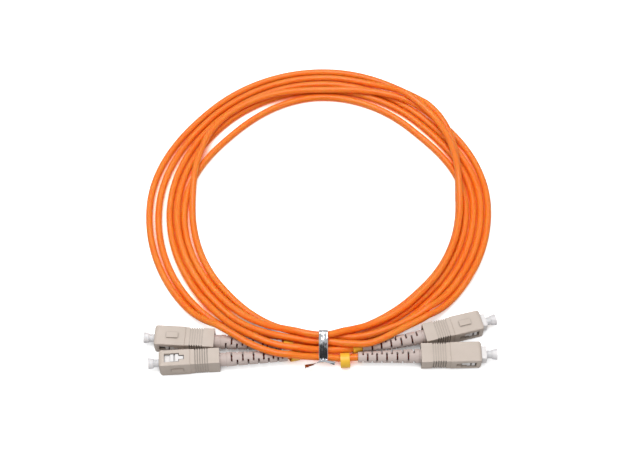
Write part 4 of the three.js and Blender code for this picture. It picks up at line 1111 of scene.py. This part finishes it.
# %% The outline round the strands
TIE_WIDTH, TIE_RAGGED, CREASE_ROOM = 3.8, 0.2, 0.18
TIE_ROWS, TIE_COLUMNS, STRAND_SIDES = 180, 16, 48
at_tie = [laid[name][k] for name in TURNS for k in range(0, TOTAL + 1, STEPS)]
tie_centres = [(-spot["radius"], spot["height"]) for spot in at_tie]


def wrap_outline(radius):
    """The tight outline, in Y and Z, round circles at the strands' axes."""
    points = sorted({(round(y + radius * c, 6), round(z + radius * s, 6))
                     for y, z in tie_centres for c, s in circle(STRAND_SIDES)})

    def chain(seq):
        hull = []
        for p in seq:
            while len(hull) > 1 and (
                (hull[-1][0] - hull[-2][0]) * (p[1] - hull[-2][1])
                    - (hull[-1][1] - hull[-2][1]) * (p[0] - hull[-2][0])) <= 1e-9:
                hull.pop()
            hull.append(p)
        return hull[:-1]

    return chain(points) + chain(points[::-1])


def even_loop(loop, count):
    """The same closed outline at even steps."""
    ring = [Vector(p) for p in loop] + [Vector(loop[0])]
    lengths = arc_lengths(ring)
    return [point_at(ring, lengths, lengths[-1] * i / count) for i in range(count)]


loop = even_loop(wrap_outline(CORD_RADIUS + TIE_GAP + CREASE_ROOM), TIE_ROWS)
print("tie is", round(max(p.y for p in loop), 2), "mm high")

# %% [markdown]
# ## Creased film
#
# Film that has been handled has a few long folds and many small dents, all with sharp ridges, and
# each facet mirrors another part of the room. The creases are in the mesh, so that the outline
# and the reflections agree.

# %% Creases, and a strip of film
FILM_THICKNESS, SHARP_FOLD = 0.12, 60


def fold(x):
    """A sharp wave from -1 to 1, one for each unit."""
    return 4 * abs(x % 1 - 0.5) - 1


def crease(along, across):
    """The film's height in millimetres: folds 2.1 mm apart, and dents 4.7 and 2.1 mm apart."""
    long_folds = 0.06 * fold(across / 2.1 + along / 40 + 0.1)
    dents = 0.03 * fold(along / 4.7 + across / 6)
    fine_dents = 0.01 * fold(along / 2.1 - across / 3.1 + 0.4)
    return long_folds + dents + fine_dents


def film_strip(name, rows, closed):
    """A skin through rows of points, given a thickness afterwards."""
    work = bmesh.new()
    verts = [[work.verts.new(world(p)) for p in row] for row in rows]
    skin(work, verts, range(len(rows[0]) - 1), closed)
    made = finish_mesh(name, to_mesh(work, name), foil, "cord", crisp=SHARP_FOLD)
    film = made.modifiers.new("film", "SOLIDIFY")
    film.thickness = FILM_THICKNESS * MM
    film.offset = 0
    return made


print("crease at the tie's edge, mm:", round(crease(0, TIE_WIDTH / 2), 3))

# %% The band round the strands
# Where the film spans from strand to strand on the front slope it bulges a little.
SLOPE_LOW, SLOPE_HIGH, BULGE = -77.9, -69.8, 0.38
EDGE_WAVE, EDGE_SHIFT = 0.8, 5
centre = sum(loop, Vector((0, 0))) / len(loop)
loop_step = (loop[1] - loop[0]).length
rows = []
for i, point in enumerate(loop):
    outward = (point - centre).normalized()
    span = (point.x - SLOPE_LOW) / (SLOPE_HIGH - SLOPE_LOW)
    bulge = BULGE * 4 * span * (1 - span) if 0 < span < 1 and point.y > centre.y else 0
    row = []
    for share in shares(TIE_COLUMNS):
        v = share - 0.5
        spot = point + outward * (bulge + crease(i * loop_step, v * TIE_WIDTH))
        edge = EDGE_WAVE * crease(i * loop_step + EDGE_SHIFT, 0) * (2 * abs(v)) ** 2
        row.append(Vector((v * (TIE_WIDTH - TIE_RAGGED) + math.copysign(1, v) * edge,
                           spot.x, spot.y)))
    rows.append(row)
stand_for(film_strip("tie_band", rows, True), "foil", "twist_tie")
print("tie is", round(loop_step * TIE_ROWS, 1), "mm round")

# %% The twisted tails
TAIL_SAMPLES, TAIL_COLUMNS, TAIL_ROW_STEP, TAIL_RAGGED = 8, 8, 0.25, 0.1
TWIST_CLEARANCE, TWIST_RISE = SEAT_GAP + 0.3, 0.9
root = Vector((0, min(y for y, _ in tie_centres) - CORD_RADIUS - TWIST_CLEARANCE,
               TIE_END_HEIGHT["front_right"] + TWIST_RISE))
# The width of each tail, and its middle line: X, Y and Z from the root, and its twist in degrees.
TAILS = {
    "tie_tail_right": (1.6, [(-0.5, 0, 0, 90), (1.2, -0.25, -0.1, 80),
                             (2.8, -0.5, -0.4, 65), (4.8, -0.9, -0.9, 50)]),
    "tie_tail_left": (2.4, [(0.5, 0, 0, 90), (-1.4, -0.3, -0.2, 80), (-3.0, -0.9, -0.6, 60),
                            (-4.8, -1.5, -1.0, 40), (-7.6, -2.0, -1.5, 20)]),
}
for name, (width, sections) in TAILS.items():
    middle = centripetal([root + Vector(s[:3]) for s in sections], TAIL_SAMPLES)
    rows = []
    for i, (point, ahead) in enumerate(zip(middle, headings(middle))):
        twist = np.interp(i / TAIL_SAMPLES, range(len(sections)), [s[3] for s in sections])
        flat = Matrix.Rotation(math.radians(twist), 3, ahead) @ Vector((0, 1, 0))
        flat = (flat - ahead * flat.dot(ahead)).normalized()
        normal = ahead.cross(flat)
        rows.append([point + flat * (share - 0.5) * (width - TAIL_RAGGED)
                     + normal * crease(i * TAIL_ROW_STEP, share * width)
                     for share in shares(TAIL_COLUMNS)])
    film_strip(name, rows, False)
print("tails made:", len(TAILS))

# %% [markdown]
#
# Each strand's marker bands, and the tie on strand_a, are listed by name.

for name, (start, stop) in ENDS.items():
    line = centre_lines[name]
    going = [f"{start}_marker_band", f"{stop}_marker_band"]
    if name == "strand_a":
        going += ["tie_band", "tie_tail_right", "tie_tail_left"]

# %% [markdown]
# ## The floor
#
# The floor is a sweep of white paper. It stays white to the camera where it is open, and keeps a
# soft shadow where the cord and the plugs touch it: partly real, and partly painted shade where
# its glow fades under cover. In the narrow gaps among the strands it is painted orange and has a
# painted orange glow. Only the camera sees that: what the paper throws back at the object is a
# plain diffuse grey, so the object isn't lit by a trick.

# %% The paper
FLOOR_HALF, FLOOR_DROP = 3.0, 0.0001
OPEN_SKY_REACH = 6
# The painted orange in narrow gaps is kept to the paper behind the plugs, which begins between
# these two Y from the coil's middle, and beside the tie, which ends between these two distances
# to its sides: there only strands shade it.
BEHIND_PLUGS, BESIDE_TIE = (-62, -52), (13, 18)


def paper_material():
    """White paper: lifted to white where open, painted shade under cover, painted orange in gaps.
    """
    made, tree = new_material("white_paper_sweep")
    coords = add(tree, "TexCoord").outputs["Object"]
    _, normal = grained(tree, coords, 1.5, 0.05, 0.05, 2.0)
    open_sky = add(tree, "AmbientOcclusion", {"Distance": OPEN_SKY_REACH * MM},
                   samples=8).outputs["AO"]
    # Painted light: where only strands shade it, the narrow gaps take a painted orange.
    place = add(tree, "SeparateXYZ", {"Vector": coords})
    behind = add(tree, "MapRange", {"Value": place.outputs["Y"],
                                    "From Min": world((0, BEHIND_PLUGS[0], 0)).y,
                                    "From Max": world((0, BEHIND_PLUGS[1], 0)).y})
    sideways = add(tree, "Math", {0: place.outputs["X"], 1: world((0, 0, 0)).x},
                   operation="SUBTRACT")
    off_tie = add(tree, "Math", {0: sideways.outputs[0]}, operation="ABSOLUTE")
    beside = add(tree, "MapRange", {"Value": off_tie.outputs[0],
                                    "From Min": BESIDE_TIE[0] * MM,
                                    "From Max": BESIDE_TIE[1] * MM,
                                    "To Min": 1.0, "To Max": 0.0})
    coil_only = add(tree, "Math", {0: behind.outputs["Result"], 1: beside.outputs["Result"]},
                    operation="MAXIMUM")
    narrow = add(tree, "MapRange", {"Value": open_sky, "From Min": 0.3, "From Max": 0.46,
                                    "To Min": 1.0, "To Max": 0.0})
    painted_orange_mask = add(tree, "Math", {0: narrow.outputs["Result"], 1: coil_only.outputs[0]},
               operation="MULTIPLY")
    # The ramp runs from paper white to a painted orange in the narrow gaps.
    shade = add(tree, "ValToRGB", {"Fac": painted_orange_mask.outputs[0]})
    shade.color_ramp.elements[0].color = linear("#efefef")
    shade.color_ramp.elements[1].color = linear("#ec5410")
    shade.color_ramp.elements.new(0.5).color = linear("#f8cfa8")
    paper = add(tree, "BsdfDiffuse", {"Color": shade.outputs["Color"], "Normal": normal})
    # Open paper is lifted to white, with painted shade where the lift fades under cover, and the
    # narrow gaps glow orange: a painted glow.
    lift = add(tree, "MapRange", {"Value": open_sky, "From Min": 0.15, "From Max": 0.5,
                                  "To Min": 0.0, "To Max": 0.75})
    painted_glow_and_backdrop_rays = add(tree, "Math", {0: painted_orange_mask.outputs[0], 1: 0.6}, operation="MULTIPLY")
    level = add(tree, "Math", {0: lift.outputs["Result"], 1: painted_glow_and_backdrop_rays.outputs[0]},
                operation="MAXIMUM")
    glow = add(tree, "Emission", {"Color": shade.outputs["Color"],
                                  "Strength": level.outputs[0]})
    seen = add(tree, "AddShader", {0: paper.outputs[0], 1: glow.outputs[0]})
    bounce = add(tree, "BsdfDiffuse", {"Color": (0.62, 0.62, 0.62, 1.0)})
    path = add(tree, "LightPath")
    mix = add(tree, "MixShader", {"Fac": path.outputs["Is Camera Ray"],
                                  1: bounce.outputs[0], 2: seen.outputs[0]})
    add(tree, "OutputMaterial", {"Surface": mix.outputs[0]})
    return made


floor_mesh = bpy.data.meshes.new("floor")
corners = [(x * FLOOR_HALF, y * FLOOR_HALF, 0) for x, y in ((-1, -1), (1, -1), (1, 1), (-1, 1))]
floor_mesh.from_pydata(corners, [], [(0, 1, 2, 3)])
floor_mesh.materials.append(paper_material())
floor = put_in_scene("floor", floor_mesh)
floor.location.z = -FLOOR_DROP
print("floor is", 2 * FLOOR_HALF, "m wide")

# %% [markdown]
# ## Lamps and the room
#
# A large softbox above shows the form without hard shadows, and a weak one in front lifts the
# shade. The world lights the rest evenly and is white behind the object. Only a reflection shows
# more of the room: it is a pale grey with a dark patch on the camera's side, a little lower than
# the camera, so that the foil's facets differ as they turn.

# %% The lamps
def lamp(name, place_mm, aim_mm, size_mm, watts):
    """A soft rectangular lamp, aimed at a point."""
    data = bpy.data.lights.new(name, "AREA")
    data.shape = "RECTANGLE"
    data.size, data.size_y = (s * MM for s in size_mm)
    data.energy = watts
    made = put_in_scene(name, data)
    made.location = world(place_mm)
    made.rotation_euler = (world(aim_mm) - world(place_mm)).to_track_quat(
        "-Z", "Y").to_euler()
    return made


lamp("top_softbox", (-120, 60, 900), (0, 0, 0), (650, 500), 6.1)
fill = lamp("front_fill", (300, -900, 600), (0, -30, 0), (800, 500), 1.5)
fill.visible_glossy = False          # it lifts the shade and has no mirror image
print("lamps:", len(bpy.data.lights))

# %% The room
ROOM_WHITE = (1.0, 1.0, 1.0, 1.0)
DARK_ELEVATION = math.radians(36)
# The cosines of 31 and 23 degrees: the patch fades in over this range round its middle.
PALE_PAST, DARK_WITHIN = 0.86, 0.92
sky = bpy.data.worlds.new("studio")
sky.use_nodes = True
tree = sky.node_tree
tree.nodes.clear()
path = add(tree, "LightPath")
direction = add(tree, "TexCoord")
toward = add(tree, "VectorMath", {0: direction.outputs["Generated"],
                                  1: (0, -math.cos(DARK_ELEVATION), math.sin(DARK_ELEVATION))},
             operation="DOT_PRODUCT")
dimmed = add(tree, "MapRange", {"Value": toward.outputs["Value"], "From Min": PALE_PAST,
                                "From Max": DARK_WITHIN, "To Min": 0.6, "To Max": 0.03},
             interpolation_type="SMOOTHSTEP")
ambient = add(tree, "Background", {"Color": ROOM_WHITE, "Strength": 0.36})
mirrored = add(tree, "Background", {"Color": ROOM_WHITE, "Strength": dimmed.outputs["Result"]})
white = add(tree, "Background", {"Color": ROOM_WHITE, "Strength": 1.0})
room = add(tree, "MixShader", {"Fac": path.outputs["Is Glossy Ray"], 1: ambient.outputs[0],
                               2: mirrored.outputs[0]})
painted_glow_and_backdrop_rays = add(tree, "Math", {0: path.outputs["Is Camera Ray"],
                             1: path.outputs["Is Transmission Ray"]}, operation="MAXIMUM")
seen = add(tree, "MixShader", {"Fac": painted_glow_and_backdrop_rays.outputs[0], 1: room.outputs[0],
                               2: white.outputs[0]})
add(tree, "OutputWorld", {"Surface": seen.outputs[0]})
bpy.context.scene.world = sky
print("the dark patch is", round(math.degrees(DARK_ELEVATION)), "degrees up, below the camera")
